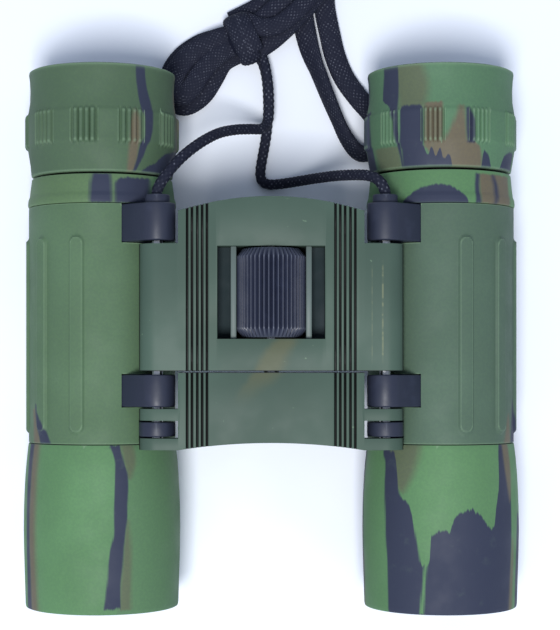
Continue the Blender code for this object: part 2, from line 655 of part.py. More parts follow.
def bridge_back_cover():
    """The cover under the housing, with a round belly for the knob."""
    wing = PLATE_HALF_WIDTH - 0.3
    cover_y = (HOUSING_FRONT_Y, HOUSING_CORNER_Y - 0.5)
    obj = block("bridge_back_cover", (-wing, wing), cover_y, COVER_Z)
    reach = math.degrees(math.asin((HINGE_Z - COVER_Z[1] + 0.2) / BELLY_R))
    belly = arc(0.0, HINGE_Z, BELLY_R, -180 + reach, -reach, 12)
    belly_y = (WINDOW_Y[0] - WELL_WALL, WINDOW_Y[1] + WELL_WALL)
    join(obj, extruded("cover_belly", belly, belly_y[0], belly_y[1], "Y"))
    hollow = rod(BELLY_BORE_R, (WINDOW_Y[0] - 0.2, WINDOW_Y[1] + 0.2))
    cut(obj, turned("belly_hollow", hollow, 0.0, HINGE_Z, 20, closed=False))
    cut(obj, turned("clip_relief", rod(CLIP_R + GAP, (CLIP_Y[0] - 0.4, CLIP_Y[1] + 0.4)), 0.0,
                    HINGE_Z, 16, closed=False))
    cut(obj, turned("belly_relief", rod(JOURNAL_R + GAP, (-8.0, 24.0)), 0.0, HINGE_Z, 12,
                    closed=False))
    for number, (x, y) in enumerate(screw_places(), 1):
        cut(obj, upright(f"cover_hole_{number}", 1.05, x, y, (28.0, 31.0), 10))
        cut(obj, upright(f"cover_recess_{number}", 1.95, x, y, (28.0, 29.6), 12))
    return as_piece(obj, GREEN_METAL)


def cover_screws():
    """Four small pan-head screws, each with a cross slot."""
    for number, (x, y) in enumerate(screw_places(), 1):
        obj = upright(f"cover_screw_{number}", 0.75, x, y, (29.0, 33.8), 10)
        join(obj, upright(f"screw_head_{number}", 1.6, x, y, (28.8, 29.3), 12))
        for turn, (dx, dy) in enumerate(((1.0, 0.18), (0.18, 1.0)), 1):
            slot = block(f"screw_slot_{number}_{turn}", (x - dx, x + dx), (y - dy, y + dy),
                         (28.5, 29.05))
            cut(obj, slot)
        as_piece(obj, STEEL)


def focus_slider(parent):
    """The front plate of the bridge, which carries both objectives along when focusing."""
    obj = extruded("focus_slider", bridge_section(SHELL_BOTTOM_Z), -24.0, -5.0, "Y")
    combine(obj, "INTERSECT", extruded("slider_plan", slider_plan(), 25.0, 40.0, "Z"))
    inner = PLATE_HALF_WIDTH - WALL
    for side, word in ((-1, "left"), (1, "right")):
        x = sorted((side * 5.6, side * inner))
        cut(obj, block(word + "_slider_pocket", x, (-19.4, -8.0), (25.0, SKIN_Z)))
    boss = arc(0.0, HINGE_Z, 4.7, -170, -10, 8)
    join(obj, extruded("nut_boss", boss, -18.6, SLIDER_SEAM_Y, "Y"))
    pocket = [(0.0, -5.0), (NUT_R + GAP, -5.0), (NUT_R + GAP, NUT_Y[0] - GAP),
              (JOURNAL_R + GAP, NUT_Y[0] - GAP), (JOURNAL_R + GAP, -18.0), (0.0, -18.0)]
    cut(obj, turned("nut_pocket", pocket, 0.0, HINGE_Z, SMALL_STEPS, closed=False))
    for side, word in ((-1, "left"), (1, "right")):
        cut(obj, along_pin(word + "_slider_bore", (KNUCKLE_2_BORE_END_Y, -12.0), side))
    return as_piece(obj, GREEN_METAL, parent)


def hinge_pin(side, word, parent):
    """The steel pin that the barrel folds on, and that guides the focus slider."""
    end = 0.25
    profile = [(0.0, PIN_Y[1]), (PIN_R - end, PIN_Y[1]), (PIN_R, PIN_Y[1] - end),
               (PIN_R, PIN_Y[0] + end), (PIN_R - end, PIN_Y[0]), (0.0, PIN_Y[0])]
    obj = turned(word + "_hinge_pin", profile, side * HINGE_X, HINGE_Z, 12, closed=False)
    return as_piece(obj, STEEL, parent)


def focus_nut(parent):
    """The brass nut in the slider."""
    profile = band(NUT_R, JOURNAL_R + GAP, NUT_Y)
    return as_piece(turned("focus_nut", profile, 0.0, HINGE_Z, SMALL_STEPS), BRASS, parent)


def focus_knob(parent):
    """The ribbed wheel, in line with the barrels, with chamfered ends."""
    teeth = []
    for i in range(KNOB_TEETH):
        turn = 2 * math.pi * i / KNOB_TEETH
        half = math.pi / KNOB_TEETH
        teeth.append((KNOB_R * math.cos(turn), HINGE_Z + KNOB_R * math.sin(turn)))
        low = turn + half
        teeth.append((KNOB_ROOT_R * math.cos(low), HINGE_Z + KNOB_ROOT_R * math.sin(low)))
    obj = extruded("focus_knob", teeth, KNOB_Y[0], KNOB_Y[1], "Y")
    blank = [(0.0, KNOB_Y[1] + 0.1), (5.6, KNOB_Y[1] + 0.1), (KNOB_R + 0.2, KNOB_Y[1] - 1.6),
             (KNOB_R + 0.2, KNOB_Y[0] + 1.6), (5.6, KNOB_Y[0] - 0.1), (0.0, KNOB_Y[0] - 0.1)]
    combine(obj, "INTERSECT", turned("knob_blank", blank, 0.0, HINGE_Z, 22, closed=False))
    bore = rod(SPINDLE_R + GAP, (KNOB_Y[0] - 1, KNOB_Y[1] + 1))
    cut(obj, turned("knob_bore", bore, 0.0, HINGE_Z, 12, closed=False))
    return as_piece(obj, BLACK_PLASTIC, parent)


def focus_spindle(parent):
    """The steel shaft through the knob, threaded where it is in the nut."""
    rear = 20.2
    profile = [(0.0, rear), (JOURNAL_R, rear), (JOURNAL_R, KNOB_Y[1]), (SPINDLE_R, KNOB_Y[1]),
               (SPINDLE_R, KNOB_Y[0]), (JOURNAL_R, KNOB_Y[0]), (JOURNAL_R, -2.2), (1.1, -2.2),
               (1.1, -3.3), (JOURNAL_R, -3.3), (JOURNAL_R, SCREW_THREAD_Y), (0.0, SCREW_THREAD_Y)]
    obj = turned("focus_spindle", profile, 0.0, HINGE_Z, 12, closed=False)
    return as_piece(obj, STEEL, parent)


def spindle_clip(parent):
    """The E-clip in the spindle's groove, which keeps it from moving along."""
    mouth = 50
    outer = arc(0.0, HINGE_Z, CLIP_R, 270 + mouth, 630 - mouth, 10)
    inner = arc(0.0, HINGE_Z, 1.4, 630 - mouth, 270 + mouth, 8)
    return as_piece(extruded("spindle_clip", outer + inner, CLIP_Y[0], CLIP_Y[1], "Y"), STEEL, parent)


# ---- strap -----------------------------------------------------------------------------------
def smooth_route(points, spacing):
    """Points about a spacing apart on a Catmull-Rom curve through the route's own points."""
    ends = [2 * Vector(points[0]) - Vector(points[1])]
    ends += [Vector(p) for p in points]
    ends.append(2 * Vector(points[-1]) - Vector(points[-2]))
    dense = []
    for i in range(1, len(ends) - 2):
        p0, p1, p2, p3 = ends[i - 1:i + 3]
        for k in range(12):
            t = k / 12
            dense.append(0.5 * (2 * p1 + (p2 - p0) * t + (2 * p0 - 5 * p1 + 4 * p2 - p3) * t * t
                                + (3 * p1 - p0 - 3 * p2 + p3) * t ** 3))
    dense.append(ends[-2])
    total = sum((b - a).length for a, b in zip(dense, dense[1:]))
    count = max(2, round(total / spacing))
    kept, walked, wanted = [dense[0]], 0.0, total / count
    for a, b in zip(dense, dense[1:]):
        step = (b - a).length
        while len(kept) < count and walked + step >= wanted * len(kept) - 1e-9:
            kept.append(a + (b - a) * ((wanted * len(kept) - walked) / step))
        walked += step
    return kept + [dense[-1]]


def cord(name, points, diameter, spacing):
    """A tube of a cord's diameter along a smooth curve through its route."""
    curve = bpy.data.curves.new(name, "CURVE")
    curve.dimensions = "3D"
    curve.bevel_depth = diameter / 2 * MM
    curve.bevel_resolution = 2
    curve.use_fill_caps = True
    spline = curve.splines.new("POLY")
    route = smooth_route(points, spacing * diameter)
    spline.points.add(len(route) - 1)
    for point, place in zip(spline.points, route):
        point.co = (*(place * MM), 1.0)
    obj = bpy.data.objects.new(name, curve)
    return as_piece(obj, BLACK_CORD)


def flat_solid(name, outline, height):
    """A closed solid of the outer shape of folded braid, just off the table."""
    low, high = TABLE_GAP, TABLE_GAP + height
    return as_piece(extruded(name, outline, low, high, "Z"), BLACK_CORD)


def strap_knot():
    """The tied knot where both thin cords and the braid meet."""
    obj = block("strap_knot", KNOT_X, KNOT_Y, (TABLE_GAP, TABLE_GAP + KNOT_HEIGHT))
    bevel = obj.modifiers.new("rounding", "BEVEL")
    bevel.width = 2.2 * MM
    bevel.segments = 3
    return as_piece(obj, BLACK_CORD)


def strap_coil():
    """The rest of the braid, wound up beside the eyepieces."""
    low, high = TABLE_GAP, TABLE_GAP + COIL_HEIGHT
    round_off = 2.2
    outer = [(COIL_R - round_off, high), (COIL_R, high - round_off), (COIL_R, low + round_off),
             (COIL_R - round_off, low)]
    inner = [(COIL_HOLE_R + round_off, high), (COIL_HOLE_R, high - round_off),
             (COIL_HOLE_R, low + round_off), (COIL_HOLE_R + round_off, low)]
    obj = turned("strap_coil", ring(outer, inner), 0.0, 0.0, 28)
    obj.rotation_euler = (0.0, 0.0, 0.0)
    obj.location = metres(*COIL_CENTRE, 0.0)
    return as_piece(obj, BLACK_CORD)


def build_strap():
    cord("strap_cord_left", LEFT_CORD_ROUTE, THIN_CORD, 2.0)
    cord("strap_cord_right", RIGHT_CORD_ROUTE, THIN_CORD, 2.0)
    cord("strap_loop_right", RIGHT_LOOP_ROUTE, THICK_CORD, 1.3)
    flat_solid("strap_lobe_left", LEFT_LOBE_OUTLINE, BRAID_HEIGHT)
    flat_solid("strap_fold", FOLD_OUTLINE, BRAID_HEIGHT)
    strap_knot()
    strap_coil()


# ---- assembly --------------------------------------------------------------------------------
def build_barrel(side, word):
    hinge = joint_origin(word + "_hinge_axis", side * HINGE_X, 0.0, HINGE_Z)
    barrel_body(side, word, hinge)
    body_armour(side, word, hinge)
    neck_ring(side, word, hinge)
    objective_sleeve(side, word, hinge)
    objective_trim_ring(side, word, hinge)
    prism_cage(side, word, hinge)
    half_penta_prism(side, word, hinge)
    roof_prism(side, word, hinge)
    focus = joint_origin(word + "_focus_axis", side * AXIS_X, 0.0, AXIS_Z, hinge)
    objective_cell(side, word, focus)
    lens(word + "_objective_lens", side, 12.5, -45.6, -42.9, 0.6, focus)
    eye = joint_origin(word + "_eyepiece_axis", side * AXIS_X, 0.0, AXIS_Z, hinge)
    ocular_tube(side, word, eye)
    lens(word + "_field_lens", side, 10.1, 29.6, 31.6, 1.4, eye)
    lens(word + "_eye_lens", side, 9.6, 44.6, 47.0, 0.9, eye)
    eye_lens_ring(side, word, eye)
    eyecup(side, word, eye)


def build_bridge():
    bridge_housing()
    bridge_back_cover()
    cover_screws()
    slider = joint_origin("focus_slider_axis", 0.0, SLIDER_SEAM_Y, HINGE_Z)
    focus_slider(slider)
    focus_nut(slider)
    hinge_pin(-1, "left", slider)
    hinge_pin(1, "right", slider)
    wheel = joint_origin("focus_wheel_axis", 0.0, 0.0, HINGE_Z)
    focus_knob(wheel)
    focus_spindle(wheel)
    spindle_clip(wheel)


def main():
    build_barrel(-1, "left")
    build_barrel(1, "right")
    build_bridge()
    build_strap()


main()
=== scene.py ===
import math

import bmesh
import bpy
import numpy as np
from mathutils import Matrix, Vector


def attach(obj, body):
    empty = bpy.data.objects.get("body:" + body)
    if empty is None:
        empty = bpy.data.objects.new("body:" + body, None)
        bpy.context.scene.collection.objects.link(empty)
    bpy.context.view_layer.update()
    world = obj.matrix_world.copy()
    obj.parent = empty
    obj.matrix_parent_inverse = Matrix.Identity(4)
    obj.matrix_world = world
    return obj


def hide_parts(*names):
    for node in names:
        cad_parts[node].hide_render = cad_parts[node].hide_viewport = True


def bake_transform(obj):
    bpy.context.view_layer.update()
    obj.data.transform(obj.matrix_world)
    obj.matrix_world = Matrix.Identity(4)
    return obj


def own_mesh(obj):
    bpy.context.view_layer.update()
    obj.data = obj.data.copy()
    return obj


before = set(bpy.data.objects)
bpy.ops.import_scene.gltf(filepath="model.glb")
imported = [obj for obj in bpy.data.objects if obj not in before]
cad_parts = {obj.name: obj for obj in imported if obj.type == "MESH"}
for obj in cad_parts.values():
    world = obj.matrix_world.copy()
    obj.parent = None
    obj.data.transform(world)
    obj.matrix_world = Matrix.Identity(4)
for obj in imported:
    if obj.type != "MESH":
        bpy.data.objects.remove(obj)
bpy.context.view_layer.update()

# Compact folding binoculars lying on a pale table, seen from above. Every size is in millimetres
# and degrees, as in the CAD, and turns into metres in the mesh helpers. Left and right are as
# seen from above with the eyepieces at the top.

MM = 0.001

# ---- sizes shared with the CAD ----
AXIS_X, AXIS_Z = 35.05, 16.4         # a barrel's optical axis
HINGE_X, HINGE_Z = 22.61, 31.69      # a hinge pin; the focus spindle is as high, at x = 0
REACH = math.hypot(AXIS_X - HINGE_X, HINGE_Z - AXIS_Z)
ALONG = ((AXIS_X - HINGE_X) / REACH, (HINGE_Z - AXIS_Z) / REACH)
GAP = 0.3
KNUCKLE_R = 3.6
PIN_BORE, SHAFT_BORE = 1.4, 1.8
CROWN_Z = 36.0
DROP = CROWN_Z - HINGE_Z - KNUCKLE_R
PLATE = 18.3                         # half the plate's width between the lugs
WING = 27.2                          # half its width with the knuckles
WALL = 1.25
SHELL_BOTTOM_Z = 30.3
SKIN_Z = 34.5
SEAM_Y = (-6.75, -6.45)              # between the sliding front plate and the fixed one
ABOVE, BELOW = 40.0, 25.0            # levels clear of the bridge, for cutting tools
SIDES = ((-1, "left"), (1, "right"))
SHARP = 40.0                         # edges sharper than this stay sharp


# ---- mesh helpers ----
def finished(name, mesh, look, sharp=SHARP):
    """An object from a mesh in millimetres, smooth apart from its sharp edges."""
    mesh.transform(((MM, 0, 0, 0), (0, MM, 0, 0), (0, 0, MM, 0), (0, 0, 0, 1)))
    obj = bpy.data.objects.new(name, mesh)
    bpy.context.scene.collection.objects.link(obj)
    mesh.materials.append(look)
    shade(mesh, sharp)
    return obj


def metres(point):
    return tuple(c * MM for c in point)


def shade(mesh, sharp):
    mesh.polygons.foreach_set("use_smooth", [True] * len(mesh.polygons))
    mesh.set_sharp_from_angle(angle=math.radians(sharp))
    mesh.update()


def grid(name, rows, look, closed=False, sharp=SHARP):
    """A solid from rows of rings. The rows close on themselves, or each end gets a cap."""
    rows = np.asarray(rows, float)
    count, steps = rows.shape[:2]
    verts = rows.reshape(-1, 3)
    ring = np.arange(steps)
    after = (ring + 1) % steps
    low = np.arange(count if closed else count - 1)[:, None]
    high = (low + 1) % count
    quads = np.stack([low * steps + ring, low * steps + after,
                      high * steps + after, high * steps + ring], -1).reshape(-1, 4)
    a, b, c, d = (verts[quads[:, i]] for i in range(4))
    volume = (a * np.cross(b, c)).sum() + (a * np.cross(c, d)).sum()
    faces = quads.tolist()
    if not closed:
        for row, order in ((0, (after, ring)), (count - 1, (ring, after))):
            middle = len(verts)
            verts = np.vstack([verts, rows[row].mean(0)])
            faces += [(int(row * steps + i), int(row * steps + j), middle) for i, j in zip(*order)]
    if volume < 0:
        faces = [face[::-1] for face in faces]
    mesh = bpy.data.meshes.new(name)
    mesh.from_pydata(verts.tolist(), [], faces)
    return finished(name, mesh, look, sharp)


def prism(name, outline, low, high, axis, look):
    """A flat outline with thickness. Along Y it is in X, Z; along Z it is in X, Y."""
    order = {"Y": (0, 2, 1), "Z": (0, 1, 2)}[axis]
    count = len(outline)
    verts = [tuple((u, v, level)[i] for i in order) for level in (low, high) for u, v in outline]
    faces = [tuple(range(count)), tuple(range(2 * count - 1, count - 1, -1))]
    faces += [(i, (i + 1) % count, count + (i + 1) % count, count + i) for i in range(count)]
    mesh = bpy.data.meshes.new(name)
    mesh.from_pydata(verts, [], faces)
    work = bmesh.new()
    work.from_mesh(mesh)
    bmesh.ops.recalc_face_normals(work, faces=work.faces)
    work.to_mesh(mesh)
    work.free()
    return finished(name, mesh, look)


def box(name, x, y, z, look):
    corners = [(x[0], y[0]), (x[1], y[0]), (x[1], y[1]), (x[0], y[1])]
    return prism(name, corners, z[0], z[1], "Z", look)


def applied(obj):
    """Bake the modifiers into the mesh."""
    graph = bpy.context.evaluated_depsgraph_get()
    mesh = bpy.data.meshes.new_from_object(obj.evaluated_get(graph))
    obj.modifiers.clear()
    obj.data = mesh
    shade(mesh, SHARP)
    return obj


def carved(obj, operation, *tools):
    """Cut the tools out of obj, or join them to it, and throw the tools away."""
    for tool in tools:
        step = obj.modifiers.new("carve", "BOOLEAN")
        step.operation = operation
        step.solver = "EXACT"
        step.object = tool
    bpy.context.view_layer.update()
    applied(obj)
    for tool in tools:
        bpy.data.objects.remove(tool, do_unlink=True)


def rounded(obj, width, segments=2):
    """Round the edges sharper than 35 degrees."""
    step = obj.modifiers.new("round", "BEVEL")
    step.width = width * MM
    step.segments = segments
    step.limit_method = "ANGLE"
    step.angle_limit = math.radians(35.0)
    bpy.context.view_layer.update()
    return applied(obj)


def softened(profile, radius, segments):
    """A closed profile with its corners rounded."""
    points = [Vector(p) for p in profile]
    found = []
    for i, corner in enumerate(points):
        arms = [points[i - 1] - corner, points[(i + 1) % len(points)] - corner]
        start, end = [corner + arm.normalized() * min(radius, 0.45 * arm.length) for arm in arms]
        for k in range(segments + 1):
            t = k / segments
            found.append(tuple(start * (1 - t) ** 2 + corner * 2 * t * (1 - t) + end * t * t))
    return found


def finely(profile, step):
    """A closed profile with points no further apart than the step."""
    found = []
    for (r0, y0), (r1, y1) in zip(profile, profile[1:] + profile[:1]):
        parts = max(1, math.ceil(math.hypot(r1 - r0, y1 - y0) / step))
        found += [(r0 + (r1 - r0) * k / parts, y0 + (y1 - y0) * k / parts) for k in range(parts)]
    return found


def around(steps):
    return np.linspace(0, 2 * math.pi, steps, endpoint=False)


def hoop(x, y, z, radius, turn):
    """A ring round a line along Y, at the angles from +X toward +Z. It may have many radii."""
    return np.stack([x + radius * np.cos(turn), y + 0.0 * turn, z + radius * np.sin(turn)], -1)


def lathe(name, profile, side, look, steps, swell=None, z=AXIS_Z):
    """Turn a closed profile of (radius, y) about a barrel's axis, or about x = 0 for side 0.
    swell(angles, radius, y) adds to the radius."""
    turn = around(steps)
    rows = [hoop(side * AXIS_X, y, z, r + (swell(turn, r, y) if swell else 0.0), turn)
            for r, y in profile]
    return grid(name, rows, look, closed=True)


def spun_lens(name, side, radius, front, rear, bulge, look):
    """A lens between the ends of its edge, with both faces bulging."""
    reach = np.linspace(0.02, 1, 14)
    faces = [(radius * r, rear + bulge * (1 - r * r)) for r in reach]
    faces += [(radius * r, front - bulge * (1 - r * r)) for r in reach[::-1]]
    return grid(name, [hoop(side * AXIS_X, y, AXIS_Z, r, around(96)) for r, y in faces], look)


def arc(cx, cy, radius, start, end, steps):
    turns = [math.radians(start + (end - start) * i / steps) for i in range(steps + 1)]
    return [(cx + radius * math.cos(a), cy + radius * math.sin(a)) for a in turns]


def circle(cx, cy, radius, steps):
    return arc(cx, cy, radius, 0, 360 * (steps - 1) / steps, steps - 1)


def rod(name, x, radius, y, look, steps=48):
    """A round bar along Y as high as the hinge pins."""
    return prism(name, circle(x, HINGE_Z, radius, steps), y[0], y[1], "Y", look)


def smoothstep(value, low, high):
    t = np.clip((value - low) / (high - low), 0, 1)
    return t * t * (3 - 2 * t)


def smooth_route(points, spacing):
    """Points about a spacing apart on a Catmull-Rom curve through the route's own points."""
    route = np.array(points, float)
    route = np.vstack([2 * route[0] - route[1], route, 2 * route[-1] - route[-2]])
    dense = []
    for i in range(1, len(route) - 2):
        p0, p1, p2, p3 = route[i - 1:i + 3]
        for t in np.linspace(0, 1, 40, endpoint=False):
            dense.append(0.5 * (2 * p1 + (p2 - p0) * t + (2 * p0 - 5 * p1 + 4 * p2 - p3) * t * t
                                + (3 * p1 - p0 - 3 * p2 + p3) * t ** 3))
    dense.append(route[-2])
    dense = np.array(dense)
    walked = np.concatenate([[0], np.cumsum(np.linalg.norm(np.diff(dense, axis=0), axis=1))])
    places = np.linspace(0, walked[-1], max(3, round(walked[-1] / spacing)))
    return np.stack([np.interp(places, walked, dense[:, i]) for i in range(3)], -1), walked[-1]


# ---- materials ----
LIGHT = 1.29                         # how bright the studio light shows a white surface
GLOSS = 0.012                        # what the surface's own reflection adds


def linear(red, green, blue):
    """The surface colour that shows as a display colour, 0 to 255, under the studio light."""
    values = [c / 255 for c in (red, green, blue)]
    values = [c / 12.92 if c <= 0.04045 else ((c + 0.055) / 1.055) ** 2.4 for c in values]
    return tuple(max(0.004, c / LIGHT - GLOSS) for c in values)


class Look:
    """A material under construction."""

    def __init__(self, name, colour, roughness, metallic=0.0):
        self.material = bpy.data.materials.new(name)
        self.material.use_nodes = True
        self.tree = self.material.node_tree
        self.shader = self.tree.nodes["Principled BSDF"]
        self.shader.inputs["Roughness"].default_value = roughness
        self.shader.inputs["Metallic"].default_value = metallic
        self.shader.inputs["Base Color"].default_value = (*colour, 1)
        self.place = self.node("ShaderNodeTexCoord").outputs["Object"]
        self.heights = []

    def node(self, kind, **settings):
        made = self.tree.nodes.new(kind)
        for key, value in settings.items():
            setattr(made, key, value)
        return made

    def plug(self, socket, value):
        if isinstance(value, bpy.types.NodeSocket):
            self.tree.links.new(value, socket)
        else:
            socket.default_value = value

    def math(self, operation, *values):
        made = self.node("ShaderNodeMath", operation=operation)
        for socket, value in zip(made.inputs, values):
            self.plug(socket, value)
        return made.outputs[0]

    def ramp(self, value, low, high, to_low=0.0, to_high=1.0):
        made = self.node("ShaderNodeMapRange", interpolation_type="SMOOTHSTEP")
        for key, number in zip(("Value", "From Min", "From Max", "To Min", "To Max"),
                               (value, low, high, to_low, to_high)):
            self.plug(made.inputs[key], number)
        return made.outputs[0]

    def times(self, *values):
        product = values[0]
        for value in values[1:]:
            product = self.math("MULTIPLY", product, value)
        return product

    def minus(self, a, b):
        return self.math("SUBTRACT", a, b)

    def past(self, value, edge, soft):
        """1 where the value is past the edge and 0 before it, blurred by soft each way."""
        return self.ramp(self.minus(value, edge), -soft, soft)

    def millimetres(self, x=0.0, z=0.0):
        """How far along X, Y and Z a point is, in millimetres from a line along Y."""
        parts = self.node("ShaderNodeSeparateXYZ")
        self.plug(parts.inputs[0], self.place)
        return [self.math("MULTIPLY_ADD", part, 1 / MM, -start)
                for part, start in zip(parts.outputs, (x, 0.0, z))]

    def scaled(self, *scale):
        made = self.node("ShaderNodeMapping")
        self.plug(made.inputs["Vector"], self.place)
        made.inputs["Scale"].default_value = scale
        return made.outputs[0]

    def noise(self, scale, detail=2.0, place=None):
        made = self.node("ShaderNodeTexNoise")
        self.plug(made.inputs["Vector"], place or self.place)
        made.inputs["Scale"].default_value = scale
        made.inputs["Detail"].default_value = detail
        return made.outputs["Fac"]

    def edges(self, low, high, strength):
        """Up to the strength on outward edges."""
        outward = self.node("ShaderNodeNewGeometry").outputs["Pointiness"]
        return self.ramp(outward, low, high, 0.0, strength)

    def mix(self, factor, a, b):
        made = self.node("ShaderNodeMix", data_type="RGBA")
        self.plug(made.inputs[0], factor)
        for socket, value in ((made.inputs[6], a), (made.inputs[7], b)):
            self.plug(socket, (*value, 1) if isinstance(value, tuple) else value)
        return made.outputs[2]

    def curve(self, value, points, span_in, span_out):
        """A Float Curve through the points, with both axes scaled to the spans."""
        made = self.node("ShaderNodeFloatCurve")
        line = made.mapping.curves[0]
        places = sorted(((u - span_in[0]) / (span_in[1] - span_in[0]),
                         (v - span_out[0]) / (span_out[1] - span_out[0])) for u, v in points)
        while len(line.points) < len(places):
            line.points.new(0.5, 0.5)
        for point, place in zip(line.points, places):
            point.location = place
            point.handle_type = "AUTO_CLAMPED"
        made.mapping.extend = "HORIZONTAL"
        made.mapping.update()
        wide_in, wide_out = span_in[1] - span_in[0], span_out[1] - span_out[0]
        self.plug(made.inputs["Value"],
                  self.math("MULTIPLY_ADD", value, 1 / wide_in, -span_in[0] / wide_in))
        return self.math("MULTIPLY_ADD", made.outputs[0], wide_out, span_out[0])

    def colour(self, value):
        self.plug(self.shader.inputs["Base Color"], value)

    def rough(self, value, low, high):
        self.plug(self.shader.inputs["Roughness"], self.ramp(value, 0.3, 0.7, low, high))

    def bump(self, height, strength, distance):
        made = self.node("ShaderNodeBump")
        made.inputs["Strength"].default_value = strength
        made.inputs["Distance"].default_value = distance * MM
        self.plug(made.inputs["Height"], height)
        if self.heights:
            self.tree.links.new(self.heights[-1], made.inputs["Normal"])
        self.heights.append(made.outputs[0])
        self.tree.links.new(made.outputs[0], self.shader.inputs["Normal"])

    def set(self, **numbers):
        for key, value in numbers.items():
            self.shader.inputs[key.replace("_", " ")].default_value = value


def dimmed(colour, factor):
    return tuple(c * factor for c in colour)


VIVID = linear(107, 149, 104)
MUTED = linear(102, 130, 99)
DEEP = linear(104, 140, 102)
DARK = linear(67, 72, 90)
BROWN = linear(121, 113, 94)
FAINT = linear(108, 119, 94)
PALE = linear(150, 180, 145)

# The camouflage as seen from above, with one painted shade: the DEEP streak beside the right
# neck's lug. A streak lies between two edges of (y, angle), and a flood lies in front of an
# edge of (angle, y), between two angles. Last is how soft its edges are.
Y_SPAN, ANGLE_SPAN = (-60, 60), (-120, 120)
LEFT_SLEEVE = (
    ("flood", DEEP, ((-60, -60), (10, -60), (20, 0), (90, 0)), (16, 100), 5.0),
    ("streak", FAINT, ((-21, 19), (-24, 21), (-28, 24)), ((-21, 29), (-24, 31), (-28, 27)), 3.0),
    ("streak", FAINT, ((-36, 23), (-45, 20), (-54, 18)), ((-36, 25), (-45, 27), (-54, 27)), 2.6),
    ("streak", DARK, ((-21.2, 11), (-25, 15.2), (-29, 14.7), (-34.8, 14), (-39.3, 13.7),
     (-42.8, 10.8), (-48.1, 9.4), (-53.8, 6.9)), ((-21.2, 18.6), (-24.2, 21.2), (-27.9, 24.4),
     (-32, 23.7), (-36, 23.2), (-41, 21.2), (-45.4, 20.1), (-49.4, 19), (-53.8, 19)), 0.9),
    ("streak", BROWN, ((-20, -62), (-40, -62), (-55, -62)), ((-20, -50), (-40, -51), (-55, -49)),
     5.0),
    ("streak", DARK, ((-20, -68), (-40, -66), (-55, -68)), ((-20, -59), (-40, -60), (-55, -59)),
     2.0),
)
RIGHT_SLEEVE = (
    ("streak", FAINT, ((-20, -50), (-28, -44), (-31, -35)), ((-20, -20), (-26, -24), (-31, -33)),
     5.0),
    ("streak", DARK, ((-21.2, -49), (-22.8, -54), (-24.9, -51), (-29.5, -50), (-34.8, -49),
     (-41.4, -48), (-45.4, -46), (-50.7, -44), (-55, -43.5)), ((-21.2, -48), (-23.5, -45),
     (-27, -40.5), (-30, -38), (-33, -32), (-37.5, -25), (-42.5, -21), (-48, -19), (-55, -19)),
     1.4),
    ("flood", DARK, ((-60, -30), (-44.6, -22.8), (-38.8, -26.8), (-37, -31.9), (-33, -32.1),
     (-27.8, -33.5), (-24.7, -37.5), (-22.8, -42.5), (-17.8, -45), (-13.4, -45), (-12.6, -39.6),
     (-8.4, -38.6), (-2.5, -38), (1.2, -38.6), (3.1, -36.2), (9.8, -34.6), (15.9, -33.8),
     (23.3, -35), (34.5, -38), (38.6, -33.4), (42, -28.9), (44.8, -21.4), (52, -20), (90, -20)),
     (-47, 57), 0.9),
    ("streak", VIVID, ((-41, -16), (-48, -18), (-55, -21)), ((-41, -13), (-48, -16), (-55, -18)),
     1.2),
    ("streak", BROWN, ((-20, 49), (-26, 50), (-33, 55)), ((-20, 57), (-26, 59), (-33, 56)), 2.5),
    ("streak", BROWN, ((-40, 59), (-45, 57), (-55, 55)), ((-40, 60), (-45, 61), (-55, 61)), 3.0),
    ("streak", DARK, ((-35, 70), (-40, 68), (-55, 67)), ((-35, 71), (-40, 88), (-55, 88)), 1.6),
)
LEFT_CUP = (
    ("streak", BROWN, ((46, 30), (43, 27.5), (38, 26.5), (33, 25)), ((46, 31), (43, 34), (38, 34),
     (33, 31)), 2.2),
    ("streak", DARK, ((55, 31.6), (50.3, 33.4), (46.3, 36.2), (44, 39.2), (41.1, 39.2),
     (38.9, 35.8), (36.7, 34), (33.3, 30)), ((55, 39.5), (51, 42.5), (48.1, 45.5), (45, 46.5),
     (41.8, 46), (38.5, 41.5), (36, 38), (33.3, 32)), 1.0),
    ("flood", DARK, ((30, 20), (36, 32.5), (42, 34.4), (52, 35.6), (62, 37.4), (90, 39)),
     (36, 110), 0.7),
)
RIGHT_CUP = (
    ("streak", FAINT, ((55, -45), (50, -42), (45.8, -38)), ((55, -19), (50, -15), (45.8, -17)),
     5.0),
    ("streak", FAINT, ((38.6, -66), (33, -62)), ((38.6, -38), (33, -36)), 4.0),
    ("streak", DARK, ((55, -55), (48.8, -56.7), (46.6, -48), (42.9, -43), (38.9, -40), (34, -37)),
     ((55, -40), (48.8, -40), (44, -39.5), (40, -38), (38, -36.5), (34, -35)), 1.0),
    ("streak", DARK, ((46.6, -36), (45.6, -37), (39, -37), (38.2, -36)), ((46.6, -20),
     (45.6, -18.5), (39, -18.5), (38.2, -19)), 0.8),
    ("streak", BROWN, ((47, -17), (38, -17)), ((47, -4), (38, -4)), 2.0),
    ("streak", BROWN, ((46.5, 9), (43, 4), (39, -4)), ((46.5, 12), (42, 14), (39, 15)), 3.0),
    ("streak", BROWN, ((39.4, -17), (37, -14), (33.2, 4)), ((39.4, 20), (38, 26), (33.2, 29)),
     1.6),
    ("flood", DARK, ((-60, 34), (-36, 38.5), (-19, 38.5), (-15, 36.6), (-12, 38.2), (-9, 36.2),
     (-6, 38), (-3, 35.8), (1, 36.6), (5, 33.4), (40, 30)), (-36, 5), 0.6),
    ("streak", DARK, ((46, 14), (42, 14), (39, 15)), ((46, 17), (42, 21), (39, 21)), 1.2),
    ("flood", DARK, ((28, 30), (30, 37.6), (33, 37.2), (43, 33.4), (46, 33.4), (54, 37),
     (62, 38)), (28, 72), 0.8),
    ("streak", DARK, ((46.6, -90), (40, -90), (33, -90)), ((46.6, -74), (40, -71), (33, -66)),
     2.0),
)
